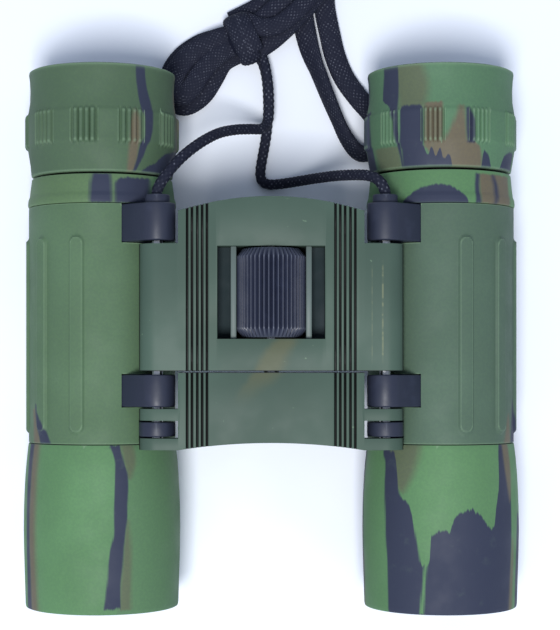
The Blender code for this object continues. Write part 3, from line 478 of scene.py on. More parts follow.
LEFT_NECK = (
    ("streak", DARK, ((33, -2), (30, -4), (27, -4)), ((33, 12), (30, 13), (27, 13)), 2.2),
    ("streak", DARK, ((32.2, 20), (30.5, 15.5), (27, 15.5)), ((32.2, 54), (30, 52), (27, 48)),
     2.0),
    ("streak", DEEP, ((33, 48), (27, 44)), ((33, 90), (27, 90)), 4.0),
)
RIGHT_NECK = (
    # Painted shade: a darker green on the right neck's side toward the bridge, beside the lug.
    ("streak", DEEP, ((33, -70), (27, -66)), ((33, -40), (27, -32)), 5.0),
    ("flood", DARK, ((-60, 20), (-38, 26), (-34, 27.6), (-27, 29.2), (-16, 30.4), (-6, 30.8),
     (4, 30.2), (10, 29.2), (15, 28), (19, 20)), (-39, 17), 0.8),
    ("streak", BROWN, ((33, 26), (27, 26)), ((33, 64), (27, 62)), 3.0),
    ("streak", DARK, ((33, 23), (30, 22), (27, 22)), ((33, 27), (30, 26), (27, 27)), 1.4),
    ("streak", DARK, ((33, 39), (30, 41), (27, 40)), ((33, 42), (30, 46), (27, 43)), 3.0),
)
LEFT_BODY = (
    ("streak", BROWN, ((-14, -62), (-21.5, -60)), ((-14, -58), (-21.5, -49)), 3.0),
    ("streak", DARK, ((-13, -58), (-16, -57), (-21.5, -49)), ((-13, -57), (-16, -48),
     (-21.5, -36)), 1.4),
)
RIGHT_BODY = (
    ("streak", BROWN, ((-15, 60), (-21.5, 52)), ((-15, 61), (-21.5, 64)), 3.0),
    ("streak", DARK, ((-12, 70), (-21.5, 65)), ((-12, 71), (-21.5, 84)), 2.0),
)


def camouflage(name, side, green, layers, seed, spiky=1.0):
    """Moulded rubber in greens with dark and brown flows. An angle is in degrees from the top
    of the barrel, toward +X; the flows seen from above are placed, and the rest are random.
    spiky is how far the ends of a flow reach out in spikes, in millimetres."""
    look = Look(name, green, 0.55)
    x, y, z = look.millimetres(side * AXIS_X, AXIS_Z)
    angle = look.times(look.math("ARCTAN2", x, z), 180 / math.pi)
    flow = look.node("ShaderNodeCombineXYZ")
    for socket, value in zip(flow.inputs, (look.times(angle, 0.48), look.times(y, 0.11), seed)):
        look.plug(socket, value)
    ragged = look.minus(look.noise(1.0, 3.0, flow.outputs[0]), 0.5)
    angle_of = look.math("MULTIPLY_ADD", ragged, 3.0, angle)
    y_of = look.math("MULTIPLY_ADD", ragged, spiky, y)

    colour = look.mix(look.ramp(look.noise(55.0, 2.0), 0.35, 0.7), dimmed(green, 0.93),
                      dimmed(green, 1.06))
    hidden = look.ramp(look.math("ABSOLUTE", angle), 76.0, 92.0)
    patches = look.scaled(1.0, 0.45, 1.0)
    for shade_of, scale, level in ((BROWN, 62.0, 0.56), (DARK, 48.0, 0.55)):
        blob = look.past(look.noise(scale, 2.5, patches), level, 0.012)
        colour = look.mix(look.times(blob, hidden), colour, shade_of)
    for kind, shade_of, first, second, soft in layers:
        if kind == "streak":
            left, right = (look.curve(y, edge, Y_SPAN, ANGLE_SPAN) for edge in (first, second))
            ends = [edge[0] for edge in first + second]
            inside = look.times(look.past(angle_of, left, soft), look.past(right, angle_of, soft),
                                look.past(y_of, min(ends), 0.3), look.past(max(ends), y_of, 0.3))
        else:
            edge = look.curve(angle, first, ANGLE_SPAN, Y_SPAN)
            inside = look.times(look.past(edge, y_of, soft * 0.35),
                                look.past(angle, second[0], 1.0), look.past(second[1], angle, 1.0))
        colour = look.mix(inside, colour, shade_of)
    dust = look.ramp(look.noise(420.0, 4.0), 0.60, 0.80, 0.0, 0.06)
    colour = look.mix(dust, colour, PALE)
    colour = look.mix(look.edges(0.515, 0.56, 0.5), colour, PALE)
    grain = look.ramp(look.noise(1900.0, 2.0), 0.62, 0.40, 0.0, 0.08)
    look.colour(look.mix(grain, colour, DARK))
    look.rough(look.noise(160.0, 3.0), 0.58, 0.74)
    look.bump(look.noise(2600.0, 3.0), 0.22, 0.05)
    look.bump(look.noise(500.0, 2.0), 0.12, 0.10)
    look.set(Specular_IOR_Level=0.28)
    return look.material


def painted(name, colour, roughness):
    """Satin paint over metal: a fine orange peel, one soft brown flow below the knob, faint
    smears and pale chipped spots. Two pale, broken lines along the right hinge are a painted
    highlight. The grooves and the knuckles' outermost sides are darkened as a painted shade,
    and the seam between the plates is a dark joint."""
    look = Look(name, colour, roughness)
    x, y, z = look.millimetres()
    shade_of = look.mix(look.ramp(look.noise(38.0, 3.0), 0.3, 0.7), dimmed(colour, 0.88),
                        dimmed(colour, 1.12))
    left, right = (look.curve(y, edge, Y_SPAN, (-40, 40)) for edge in (
        ((0, 0.8), (-4, -1.8), (-8, -4.6), (-12, -7.4), (-20, -11)),
        ((0, 6.0), (-4, 4.2), (-8, 1.0), (-12, -2.6), (-20, -7))))
    wander = look.math("MULTIPLY_ADD", look.minus(look.noise(160.0, 3.0), 0.5), 5.0, x)
    flow = look.times(look.ramp(look.minus(wander, left), -0.8, 1.4),
                      look.ramp(look.minus(right, wander), -1.5, 2.5),
                      look.ramp(y, 1.0, -1.0, 0.0, 0.50), look.ramp(y, -14.5, -5.0))
    shade_of = look.mix(flow, shade_of, linear(118, 114, 82))
    smear = look.noise(1.0, 2.0, look.scaled(60.0, 24.0, 60.0))
    shade_of = look.mix(look.ramp(smear, 0.62, 0.80, 0.0, 0.14), shade_of, BROWN)
    # Painted highlight: two pale, broken lines along the top of the right hinge's knuckle.
    for at, wide, strong in ((21.9, 0.16, 0.55), (19.8, 0.09, 0.30)):
        off = look.math("ABSOLUTE", look.minus(x, at))
        sheen_breakup = look.noise(1.0, 2.0, look.scaled(300.0, 700.0, 300.0))
        sheen_line = look.times(look.ramp(off, wide * 1.6, wide * 0.4),
                          look.ramp(sheen_breakup, 0.42, 0.60, 0.1, strong),
                          look.ramp(y, -5.5, -4.0), look.ramp(y, 16.0, 12.0))
        shade_of = look.mix(sheen_line, shade_of, linear(150, 155, 120))
    chips = look.ramp(look.noise(900.0, 2.0), 0.74, 0.78, 0.0, 0.35)
    # Painted shade: the floors of the grooves and the knuckles' outermost sides, beside the armour,
    # are darkened; the seam between the plates is a dark joint.
    crown_of = look.math("MULTIPLY_ADD", look.math("POWER", x, 2.0), -DROP / HINGE_X ** 2, CROWN_Z)
    out = look.math("ABSOLUTE", x)
    groove = look.times(look.ramp(look.minus(crown_of, z), 0.10, 0.35),
                        look.ramp(out, 12.2, 12.4), look.ramp(out, 16.95, 16.8))
    from_seam = look.math("ABSOLUTE", look.math("ADD", y, -sum(SEAM_Y) / 2))
    knuckle_shade_and_seam = look.math("MAXIMUM", look.ramp(out, 25.85, 26.05), look.ramp(from_seam, 0.30, 0.20))
    look.colour(look.mix(look.math("MAXIMUM", groove, knuckle_shade_and_seam), look.mix(chips, shade_of, PALE),
                         linear(16, 26, 24)))
    look.rough(look.noise(120.0, 3.0), roughness - 0.05, roughness + 0.07)
    look.bump(look.noise(1500.0, 2.0), 0.16, 0.05)
    look.set(Specular_IOR_Level=0.28)
    return look.material


def moulded(name, colour, roughness, grain=1800.0, edges=0.12):
    """Black moulded plastic or anodised metal: a fine grain, a little dust, and paler outward
    edges: scuffed wear, and on the knob's rib crests mostly a painted highlight.
    """
    look = Look(name, colour, roughness)
    dust = look.ramp(look.noise(240.0, 4.0), 0.55, 0.85, 0.0, 0.30)
    dusty = look.mix(dust, colour, tuple(2.2 * c + 0.01 for c in colour))
    # Paler outward edges: scuffed wear, and a painted highlight where the strength is high, as on
    # the knob's rib crests.
    look.colour(look.mix(look.edges(0.52, 0.60, edges), dusty, linear(160, 166, 180)))
    look.rough(look.noise(300.0, 3.0), roughness - 0.06, roughness + 0.08)
    look.bump(look.noise(grain, 3.0), 0.25, 0.05)
    look.set(Specular_IOR_Level=0.36)
    return look.material


def metal(name, colour, roughness):
    look = Look(name, colour, roughness, 1.0)
    lines = look.noise(1.0, 2.0, look.scaled(500.0, 4000.0, 500.0))
    look.colour(look.mix(look.ramp(lines, 0.3, 0.7), dimmed(colour, 0.85), colour))
    look.rough(lines, roughness - 0.06, roughness + 0.08)
    look.bump(lines, 0.15, 0.02)
    return look.material


def braid_look(name):
    """Black nylon braid with a fine thread. Each strand's crown is lightened as a painted
    highlight, and the hollows of the weave are a little darker, a painted shade.
    """
    look = Look(name, DARK, 0.78)
    patchy = look.noise(800.0, 3.0)
    dark, light = (0.007, 0.009, 0.022), (0.15, 0.16, 0.20)
    crown = look.node("ShaderNodeAttribute", attribute_name="crown").outputs["Fac"]
    # Painted highlight on the strands' crowns, and painted shade toward the hollows of the weave.
    lit = look.times(look.ramp(crown, 0.72, 0.94), look.ramp(patchy, 0.42, 0.66))
    look.colour(look.mix(look.math("MULTIPLY_ADD", lit, 0.7, look.times(crown, 0.06)), dark, light))
    look.bump(look.noise(3500.0, 2.0), 0.5, 0.06)
    look.set(Specular_IOR_Level=0.22)
    return look.material


def glass(name, tint, coat):
    look = Look(name, tint, 0.02)
    look.set(Transmission_Weight=1.0, IOR=1.52, Coat_Weight=0.6, Coat_Roughness=0.02)
    look.shader.inputs["Coat Tint"].default_value = (*coat, 1)
    film = look.noise(90.0, 2.0)
    look.plug(look.shader.inputs["Roughness"], look.ramp(film, 0.5, 0.9, 0.015, 0.08))
    return look.material


PAINT = painted("satin_green_paint", linear(86, 106, 94), 0.55)
# A paler green paint, for the strips beside the knob's wells.
PALE_PAINT = painted("pale_green_paint", linear(112, 126, 122), 0.45)
BLACK = moulded("black_plastic", linear(57, 61, 76), 0.46)
# DULL darkens the wells beside the knob, a painted shade.
DULL = moulded("dull_black_plastic", linear(52, 63, 66), 0.85)
BLACK_METAL = moulded("black_anodised", linear(28, 29, 33), 0.42, 2600.0)
# The knob's strong pale edges are a painted highlight on its rib crests, with some wear.
KNOB_BLACK = moulded("black_knob", linear(57, 61, 77), 0.36, 2400.0, 0.7)
STEEL = metal("steel", (0.62, 0.62, 0.62), 0.30)
BRASS = metal("brass", (0.62, 0.44, 0.18), 0.32)
LENS = glass("coated_lens", (0.90, 0.96, 0.94), (0.72, 0.62, 0.95))
PRISM = glass("prism_glass", (0.93, 0.96, 0.97), (0.9, 0.9, 0.95))
BRAID = braid_look("black_braid")


# ---- camera, light and table ----
CAMERA_AT = (0.35, -7.26, 366.4)
CAMERA_LENS, CAMERA_SENSOR = 96.4, 36.0
CAMERA_SHIFT = (0.0111, 0.0952)
SKY, SKY_STRENGTH = (0.68, 0.79, 1.0), 0.56
KEY_AT, KEY_SIZE, KEY_WATTS = (-40, -250, 820), 240, 6.4
TABLE_HALF = 6000


def stage_set():
    scene = bpy.context.scene
    camera = bpy.data.objects.new("camera", bpy.data.cameras.new("camera"))
    scene.collection.objects.link(camera)
    camera.location = metres(CAMERA_AT)
    camera.data.lens = CAMERA_LENS
    camera.data.sensor_width = CAMERA_SENSOR
    camera.data.shift_x, camera.data.shift_y = CAMERA_SHIFT
    camera.data.clip_start = 0.01
    scene.camera = camera
    scene.view_settings.view_transform = "Standard"

    scene.world = bpy.data.worlds.new("studio")
    scene.world.use_nodes = True
    sky = scene.world.node_tree.nodes["Background"]
    sky.inputs[0].default_value = (*SKY, 1)
    sky.inputs[1].default_value = SKY_STRENGTH
    lamp = bpy.data.objects.new("key", bpy.data.lights.new("key", "AREA"))
    lamp.data.size = KEY_SIZE * MM
    lamp.data.energy = KEY_WATTS
    lamp.location = metres(KEY_AT)
    lamp.rotation_euler = (-lamp.location).to_track_quat("-Z", "Y").to_euler()
    scene.collection.objects.link(lamp)

    table = Look("white_table", (0.86, 0.90, 0.98), 0.6)
    table.rough(table.noise(30.0), 0.5, 0.7)
    table.bump(table.noise(800.0), 0.05, 0.05)
    mesh = bpy.data.meshes.new("table")
    mesh.from_pydata([(x * TABLE_HALF, y * TABLE_HALF, 0) for x, y in
                      ((-1, -1), (1, -1), (1, 1), (-1, 1))], [], [(0, 1, 2, 3)])
    finished("table", mesh, table.material)


# ---- pieces that ride on bodies ----
def fitted(obj, body, slot, *nodes):
    """A visible piece that rides on a body and stands for CAD nodes."""
    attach(obj, body)
    if nodes:
        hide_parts(*nodes)


# ---- strap ----
THIN = 2.2
WIDE, THICK = 4.6, 2.3
RUN_STEP = 0.26                      # between the rings of a braid
BRAID_RELIEF = 0.2

LEFT_CORD_ROUTE = (
    (-22.61, 26.4, 31.69), (-22.61, 29.3, 31.69), (-21.1, 32.2, 31.2), (-18.8, 35.3, 29.5),
    (-16.3, 38.0, 27.0), (-13.5, 40.5, 23.5), (-10.6, 42.6, 19.0), (-7.4, 43.9, 14.5),
    (-4.5, 44.6, 10.5), (-2.1, 45.2, 7.0), (-0.8, 46.9, 4.8), (-0.5, 50.0, 4.0),
    (-0.6, 54.0, 4.0), (-1.0, 57.4, 3.6), (-1.6, 60.2, 3.0), (-2.8, 63.2, 2.6))
RIGHT_CORD_ROUTE = (
    (22.61, 26.4, 31.69), (22.61, 29.0, 31.69), (21.4, 31.4, 31.0), (19.0, 32.8, 28.0),
    (14.1, 33.7, 20.0), (9.8, 34.0, 13.0), (6.1, 34.0, 7.6), (2.4, 33.9, 3.4), (-0.3, 33.9, 1.8),
    (-1.9, 34.6, 1.3), (-2.4, 36.4, 1.3), (-2.0, 39.4, 1.3), (-1.2, 44.0, 1.3), (-0.7, 49.2, 1.3),
    (-0.8, 54.4, 1.3), (-1.2, 57.8, 1.3), (-2.0, 60.4, 1.3), (-3.4, 62.8, 1.3))
RIGHT_LOOP_ROUTE = (
    (6.6, 76.2, 1.5), (6.8, 70.4, 1.5), (8.2, 63.4, 1.7), (10.8, 56.4, 2.0), (13.5, 49.6, 2.4),
    (16.2, 43.8, 2.5), (19.0, 40.6, 2.5), (22.0, 41.4, 2.5), (23.0, 44.8, 2.5), (22.0, 48.6, 2.3),
    (18.9, 52.4, 2.0), (15.8, 56.8, 1.7), (13.8, 61.6, 1.5), (12.6, 66.6, 1.4), (11.6, 71.6, 1.4),
    (11.2, 76.2, 1.5))
FLAT = ((0.0, 0), (1.0, 0))           # how far the braid leans, in degrees, along its length
LOOP_TWIST = ((0.0, 0), (0.12, 14), (0.22, 56), (0.38, 72), (0.50, 55), (0.62, 12), (1.0, 0))


def level(z, *places):
    return tuple((x, y, z) for x, y in places)


LOBE_LOW_ROUTE = level(
    1.4, (-5.0, 67.4), (-8.6, 66.0), (-12.2, 65.2), (-15.6, 64.0), (-19.0, 61.7), (-21.3, 58.7),
    (-22.1, 55.4), (-21.4, 52.7), (-19.5, 51.2), (-17.3, 51.6), (-14.7, 53.7), (-12.6, 57.0),
    (-10.6, 60.4), (-7.4, 62.3), (-4.4, 63.4))
LOBE_HIGH_ROUTE = level(
    3.7, (-5.4, 66.6), (-9.2, 65.6), (-12.8, 64.4), (-16.2, 62.6), (-19.0, 60.0), (-20.8, 57.0),
    (-20.9, 54.2), (-19.2, 52.9), (-17.2, 54.4), (-15.4, 57.2), (-13.2, 60.0), (-10.0, 62.6),
    (-6.0, 64.2))
UPPER_FOLD_ROUTE = ((-6.4, 62.4, 2.6), (-3.4, 62.9, 3.2), (-0.6, 64.4, 3.7)) + level(
    3.9, (2.2, 66.7), (5.2, 69.6), (8.0, 72.6), (10.2, 75.6), (10.6, 78.2), (8.6, 79.3),
    (6.2, 77.6), (3.6, 74.4), (0.8, 71.3), (-2.2, 68.6), (-5.6, 66.2))
LOWER_FOLD_ROUTE = level(
    1.5, (-8.6, 69.0), (-5.8, 70.4), (-3.0, 71.9), (-0.4, 73.8), (1.6, 76.0), (3.6, 77.3),
    (5.0, 75.9), (4.0, 73.4), (1.6, 70.6), (-1.2, 68.0), (-4.4, 65.6))
TUCK_ROUTE = (
    (-6.2, 69.2, 4.0), (-4.6, 68.1, 5.2), (-2.4, 67.1, 5.9), (0.6, 67.2, 6.0), (3.4, 68.8, 5.9),
    (6.4, 71.6, 5.6), (9.0, 74.8, 5.1), (10.2, 77.6, 4.7))
COIL_CENTRE = (10.5, 106.2)
COIL_TURNS = ((27.1, 1.3), (22.2, 1.3), (24.7, 3.7))       # radius and height of each turn
KNOT_CENTRE, KNOT_LEAN = (-6.0, 64.9, 3.9), 21
KNOT_HALF = 4.7
UP = (0, 0, 1.0)


def coil_route():
    """From the end of the loop's first run, round the coil, to the end of its second run."""
    route = [(6.6, 76.2, 1.5), (7.0, 77.8, 1.3), (8.6, 79.0, 1.3)]
    steps = 24
    for i in range(len(COIL_TURNS) * steps + 1):
        turn = i / steps
        here = min(int(turn), len(COIL_TURNS) - 1)
        after = min(here + 1, len(COIL_TURNS) - 1)
        t = float(smoothstep(turn - here, 0.82, 1.0))
        radius, z = ((1 - t) * a + t * b for a, b in zip(COIL_TURNS[here], COIL_TURNS[after]))
        angle = math.radians(-88 + 360 * turn)
        if turn < 2.94:
            route.append((COIL_CENTRE[0] + radius * math.cos(angle),
                          COIL_CENTRE[1] + radius * math.sin(angle), z))
    return route + [(8.4, 80.9, 3.9), (10.5, 79.2, 3.2), (11.2, 76.2, 1.5)]


def braid(name, points, wide, thick, strands=16, pitch=1.05, twist=FLAT, across=None):
    """A woven tube along the points: strands in two directions that pass over and under each
    other. The mesh keeps how high each point of the weave stands, for its material."""
    route, length = smooth_route(points, RUN_STEP)
    ahead = np.gradient(route, axis=0)
    ahead /= np.linalg.norm(ahead, axis=1)[:, None]
    wideways = np.cross(UP, ahead) if across is None else np.tile(across, (len(route), 1))
    wideways -= (wideways * ahead).sum(1)[:, None] * ahead
    wideways /= np.linalg.norm(wideways, axis=1)[:, None]
    up = np.cross(ahead, wideways)
    lean = np.radians(np.interp(np.linspace(0, 1, len(route)), *zip(*twist)))[:, None]
    wideways, up = (wideways * np.cos(lean) + up * np.sin(lean),
                    up * np.cos(lean) - wideways * np.sin(lean))
    turn = around(strands * 7)
    run = np.linspace(0, length, len(route))[:, None]
    one = strands * turn / (2 * math.pi) + run / pitch
    two = strands * turn / (2 * math.pi) - run / pitch
    ridge = [np.sin(np.pi * (v - np.floor(v))) for v in (one, two)]
    over = (np.floor(one) + np.floor(two)) % 2 == 0
    crown = np.where(over, ridge[0] ** 0.7 * (0.45 + 0.55 * ridge[1]),
                     ridge[1] ** 0.7 * (0.45 + 0.55 * ridge[0]))
    relief = BRAID_RELIEF * (crown - 0.75)
    flat = 0.9 if wide > thick else 1.0
    c, s = np.cos(turn), np.sin(turn)
    side = np.sign(c) * np.abs(c) ** flat * wide / 2 + relief * c
    rise = np.sign(s) * np.abs(s) ** flat * thick / 2 + relief * s
    rows = route[:, None] + wideways[:, None] * side[..., None] + up[:, None] * rise[..., None]
    obj = grid(name, rows, BRAID, sharp=180.0)
    kept = obj.data.attributes.new("crown", "FLOAT", "POINT")
    kept.data.foreach_set("value", np.concatenate([crown.ravel(), [0.5, 0.5]]).astype(np.float32))
    return obj, route * MM, length * MM


def knot():
    """The tied knot: the braid wound twice round the bundle, with a rounded core inside."""
    centre = np.array(KNOT_CENTRE)
    lean = math.radians(KNOT_LEAN)
    along = np.array((math.cos(lean), math.sin(lean), 0.0))
    across = KNOT_HALF * np.array((-math.sin(lean), math.cos(lean), 0.0))
    up = np.array(UP)
    points = []
    for t in np.linspace(0, 1, 46):
        turn = math.radians(-120 + 620 * t)
        points.append(centre + along * (1.9 * (t - 0.5)) + across * math.cos(turn)
                      + up * 2.75 * math.sin(turn))
    wraps = braid("strap_knot_wraps", points, WIDE, 2.0, across=along)[0]
    rows = []
    for t in np.linspace(-0.97, 0.97, 24):
        swell = math.sqrt(1 - t * t)
        rows.append([centre + along * 3.4 * t + across * swell * math.cos(a)
                     + up * 2.9 * swell * math.sin(a) for a in around(40)])
    return wraps, grid("strap_knot_core", rows, BRAID, sharp=180.0)


def build_strap():
    made = {}
    for word, route, wide, thick, strands, pitch, twist in (
            ("cord_left", LEFT_CORD_ROUTE, THIN, THIN, 6, 1.3, FLAT),
            ("cord_right", RIGHT_CORD_ROUTE, THIN, THIN, 6, 1.3, FLAT),
            ("loop_right", RIGHT_LOOP_ROUTE, WIDE, THICK, 16, 1.05, LOOP_TWIST),
            ("lobe_low", LOBE_LOW_ROUTE, WIDE, THICK, 16, 1.05, FLAT),
            ("lobe_high", LOBE_HIGH_ROUTE, WIDE, THICK, 18, 0.95, FLAT),
            ("fold_upper", UPPER_FOLD_ROUTE, WIDE, THICK, 16, 1.05, FLAT),
            ("fold_lower", LOWER_FOLD_ROUTE, WIDE, THICK, 16, 1.05, FLAT),
            ("coil", coil_route(), WIDE, THICK, 16, 1.05, FLAT)):
        made[word] = braid(f"strap_{word}_braid", route, wide, thick, strands, pitch, twist)
    wraps, core = knot()
    tuck = braid("strap_knot_tuck", TUCK_ROUTE, 4.0, 2.0)[0]

    for side, start, end in (("left", LEFT_CORD_ROUTE[1], LEFT_CORD_ROUTE[10]),
                             ("right", RIGHT_CORD_ROUTE[4], RIGHT_CORD_ROUTE[8])):
        obj = made["cord_" + side][0]
        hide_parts("strap_cord_" + side)
        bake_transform(obj)
    for obj, *nodes in ((made["loop_right"][0], "strap_loop_right"),
                        (made["lobe_low"][0], "strap_lobe_left"), (made["lobe_high"][0],),
                        (made["fold_upper"][0], "strap_fold"), (made["fold_lower"][0],),
                        (made["coil"][0], "strap_coil"), (wraps, "strap_knot"), (core,), (tuck,)):
        fitted(obj, "bridge", "black_cord", *nodes)

    for word, far_end, lay, wide, *knotted in (
            ("cord_left", "knot", "loose", THIN, wraps, core, tuck),
            ("cord_right", "knot", "loose", THIN), ("lobe_low", "object", "loose", WIDE),
            ("lobe_high", "object", "loose", WIDE), ("fold_upper", "object", "loose", WIDE),
            ("fold_lower", "object", "loose", WIDE), ("loop_right", "object", "loose", WIDE),
            ("coil", "object", "coiled", WIDE)):
        obj, path, length = made[word]
    for word, joint, y, keep in (("lobe_low", "left_fold", 62.0, 0.45),
                                 ("lobe_high", "left_fold", 62.0, 0.45),
                                 ("loop_right", "right_fold", 76.2, 0.57)):
        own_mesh(made[word][0])


# ---- barrels ----
RIM = -55.0                          # the front end of the rubber sleeve
LUGS = (("upper", (19.3, 26.8)), ("lower", (-13.6, -7.2)))
ARM_SLOT = (-21.45, -16.25)          # where the cell's arm and lug pass the barrel
NECK_REAR = {-1: 32.9, 1: 33.7}      # the right eyecup stands a little further back
CUP_FRONT = {-1: 33.4, 1: 34.3}


def from_barrel(side, along, across):
    """X, Z of a point by its distance along the line from a barrel's axis to its hinge."""
    x = AXIS_X - along * ALONG[0] - across * ALONG[1]
    z = AXIS_Z + along * ALONG[1] - across * ALONG[0]
    return side * x, z


def lug_outline(side, foot, grow=0.0):
    web = [(foot, 3.2 + grow), (17.2, 3.0 + grow)]
    eye = arc(REACH, 0.0, KNUCKLE_R + grow, 115, -90, 28)
    back = [(13.5, -4.9 - grow), (foot, -4.9 - grow)]
    return [from_barrel(side, a, b) for a, b in web + eye + back]


def arm_outline(side, foot=10.4, grow=GAP):
    inner, outer = 2.6 + grow, -0.9 - grow
    return [from_barrel(side, a, b)
            for a, b in ((foot, inner), (REACH, inner), (REACH, outer), (foot, outer))]


def barrel_body(side, word):
    profile = [(11.8, 31.2), (11.8, 32.4), (13.6, 32.4), (13.6, -21.4), (14.3, -21.4),
               (14.3, -53.5), (13.6, -53.5), (13.6, -23.4), (12.5, -23.4), (12.5, 31.2)]
    hinge = side * HINGE_X
    obj = lathe(word + "_barrel_tube", softened(profile, 0.25, 2), side, BLACK, 144)
    for name, (front, rear) in LUGS:
        lug = prism(f"{word}_{name}_lug", lug_outline(side, 12.95), front, rear, "Y", BLACK)
        carved(obj, "UNION", rounded(lug, 0.35, 3))
    carved(obj, "UNION", rounded(rod(word + "_eyelet", hinge, 2.5, (26.0, 28.5), BLACK), 0.3, 3))
    bores = [rod("bore", hinge, PIN_BORE, y, BLACK)
             for y in ((18.0, 25.5), (-14.5, -6.0), (26.0, 29.5))]
    carved(obj, "DIFFERENCE", *bores, prism("slot", arm_outline(side), *ARM_SLOT, "Y", BLACK))
    fitted(obj, word + "_barrel", "black_plastic", word + "_barrel_body")


def body_armour(side, word, look):
    radius, rib_apart, rib_half, blur = 15.08, 33.5, 1.5, (-0.32, 0.18)
    rib_middle, rib_reach = 0.75, 19.75
    middle = math.radians(90 - side * (90 - 9))
    rib_turns = [middle + side * math.radians(rib_apart * i) for i in range(-2, 3)]

    def ribs(turn, r, y):
        high = 0.0 * turn
        if r < 14.5:
            return high
        for at in rib_turns:
            off = radius * np.abs((turn - at + math.pi) % (2 * math.pi) - math.pi)
            past = max(0.0, abs(y - rib_middle) - (rib_reach - rib_half))
            rib = 1 - smoothstep(np.hypot(off, past), *(rib_half + b for b in blur))
            high = np.maximum(high, rib)
        return 0.57 * high

    profile = softened([(radius, 26.95), (radius, -21.1), (13.9, -21.1), (13.9, 26.95)], 0.16, 2)
    obj = lathe(word + "_armour_skin", thinned(finely(profile, 0.42), 14.2), side, look, 480, ribs)
    slots = [prism("slot", lug_outline(side, 8.0, 0.12), front, rear, "Y", look)
             for front, rear in ((19.15, 28.0), (-13.75, -7.05))]
    slots.append(prism("slot", arm_outline(side), -22.1, ARM_SLOT[1], "Y", look))
    carved(obj, "DIFFERENCE", *slots)
    fitted(obj, word + "_barrel", "green_rubber", word + "_body_armour")


def thinned(profile, bore):
    """Drop most of the points along the bore, where nothing shows."""
    kept = []
    for i, (r, y) in enumerate(profile):
        beside = (kept and kept[-1][0] > bore) or profile[(i + 1) % len(profile)][0] > bore
        if r > bore or i % 12 == 0 or beside:
            kept.append((r, y))
    return kept


def neck_ring(side, word, look):
    rear = NECK_REAR[side]
    profile = [(14.45, rear), (14.75, 30.6), (14.9, 29.3), (15.2, 28.5), (15.28, 27.6),
               (15.15, 27.1), (14.7, 27.02), (13.9, 27.02), (13.9, rear)]
    obj = lathe(word + "_neck_skin", softened(profile, 0.2, 3), side, look, 240)
    fitted(obj, word + "_barrel", "green_rubber", word + "_neck_ring")


def objective_sleeve(side, word, look):
    outer = [(15.1, -21.25), (15.25, -22.2), (15.55, -25.0), (15.8, -28.0), (15.98, -31.5),
             (16.1, -35.0), (16.14, -39.0), (16.08, -43.0), (15.98, -46.5), (15.86, -50.5),
             (15.76, -54.2), (15.64, -54.85), (15.3, RIM), (14.3, RIM)]
    inner = [(14.3, -53.8), (14.6, -53.8), (14.6, -21.25)]
    obj = lathe(word + "_sleeve_skin", softened(outer + inner, 0.12, 3), side, look, 320)
    notch = prism("notch", arm_outline(side, 13.0), ARM_SLOT[0], -20.2, "Y", look)
    carved(obj, "DIFFERENCE", notch)
    fitted(obj, word + "_barrel", "green_rubber", word + "_objective_sleeve")


def objective_cell(side, word):
    """The cell that slides in the front tube, with the arm that reaches its hinge pin."""
    profile = [(13.3, -24.5), (13.3, -47.5), (12.8, -47.5), (12.8, -42.0), (11.8, -42.0),
               (11.2, -24.5), (11.2, -16.0), (12.2, -16.0), (12.2, -24.5)]
    obj = lathe(word + "_objective_cell_detail", softened(profile, 0.15, 2), side, BLACK, 144)
    arm = prism(word + "_cell_arm", arm_outline(side, 11.6, 0.0), -18.15, -16.55, "Y", BLACK)
    lug = rod(word + "_arm_lug", side * HINGE_X, KNUCKLE_R, (-19.45, -16.55), BLACK, 96)
    carved(obj, "UNION", rounded(arm, 0.2), rounded(lug, 0.3, 3))
    carved(obj, "DIFFERENCE", rod("bore", side * HINGE_X, PIN_BORE, (-21.0, -15.0), BLACK))
    fitted(obj, word + "_objective", "black_plastic", word + "_objective_cell")


RINGS = {                            # piece, softening, steps and profile of each black metal ring
    "objective_trim_ring": ("trim_ring_detail", 0.1, 192, (
        (13.3, -51.2), (13.3, -53.8), (14.05, -53.8), (14.05, -54.3), (13.75, -54.6),
        (12.9, -54.6), (12.55, -54.3), (12.4, -52.6), (12.2, -51.2))),
    "ocular_tube": ("ocular_tube_detail", 0.2, 144, (
        (11.5, 50.0), (11.5, 26.0), (12.2, 26.0), (12.2, 20.5), (10.4, 20.5), (10.4, 33.5),
        (8.8, 33.5), (8.8, 44.0), (10.0, 44.0), (10.0, 50.0))),
    "eye_lens_ring": ("eye_lens_ring_detail", 0.08, 144, (
        (9.7, 48.5), (9.7, 49.7), (8.7, 49.7), (8.5, 49.5), (8.45, 49.2), (8.3, 49.15),
        (8.25, 48.9), (8.05, 48.85), (8.0, 48.5))),
}


def metal_ring(side, word, node, body):
    piece, soft, steps, profile = RINGS[node]
    obj = lathe(f"{word}_{piece}", softened(profile, soft, 2), side, BLACK_METAL, steps)
    fitted(obj, body, "black_metal", f"{word}_{node}")


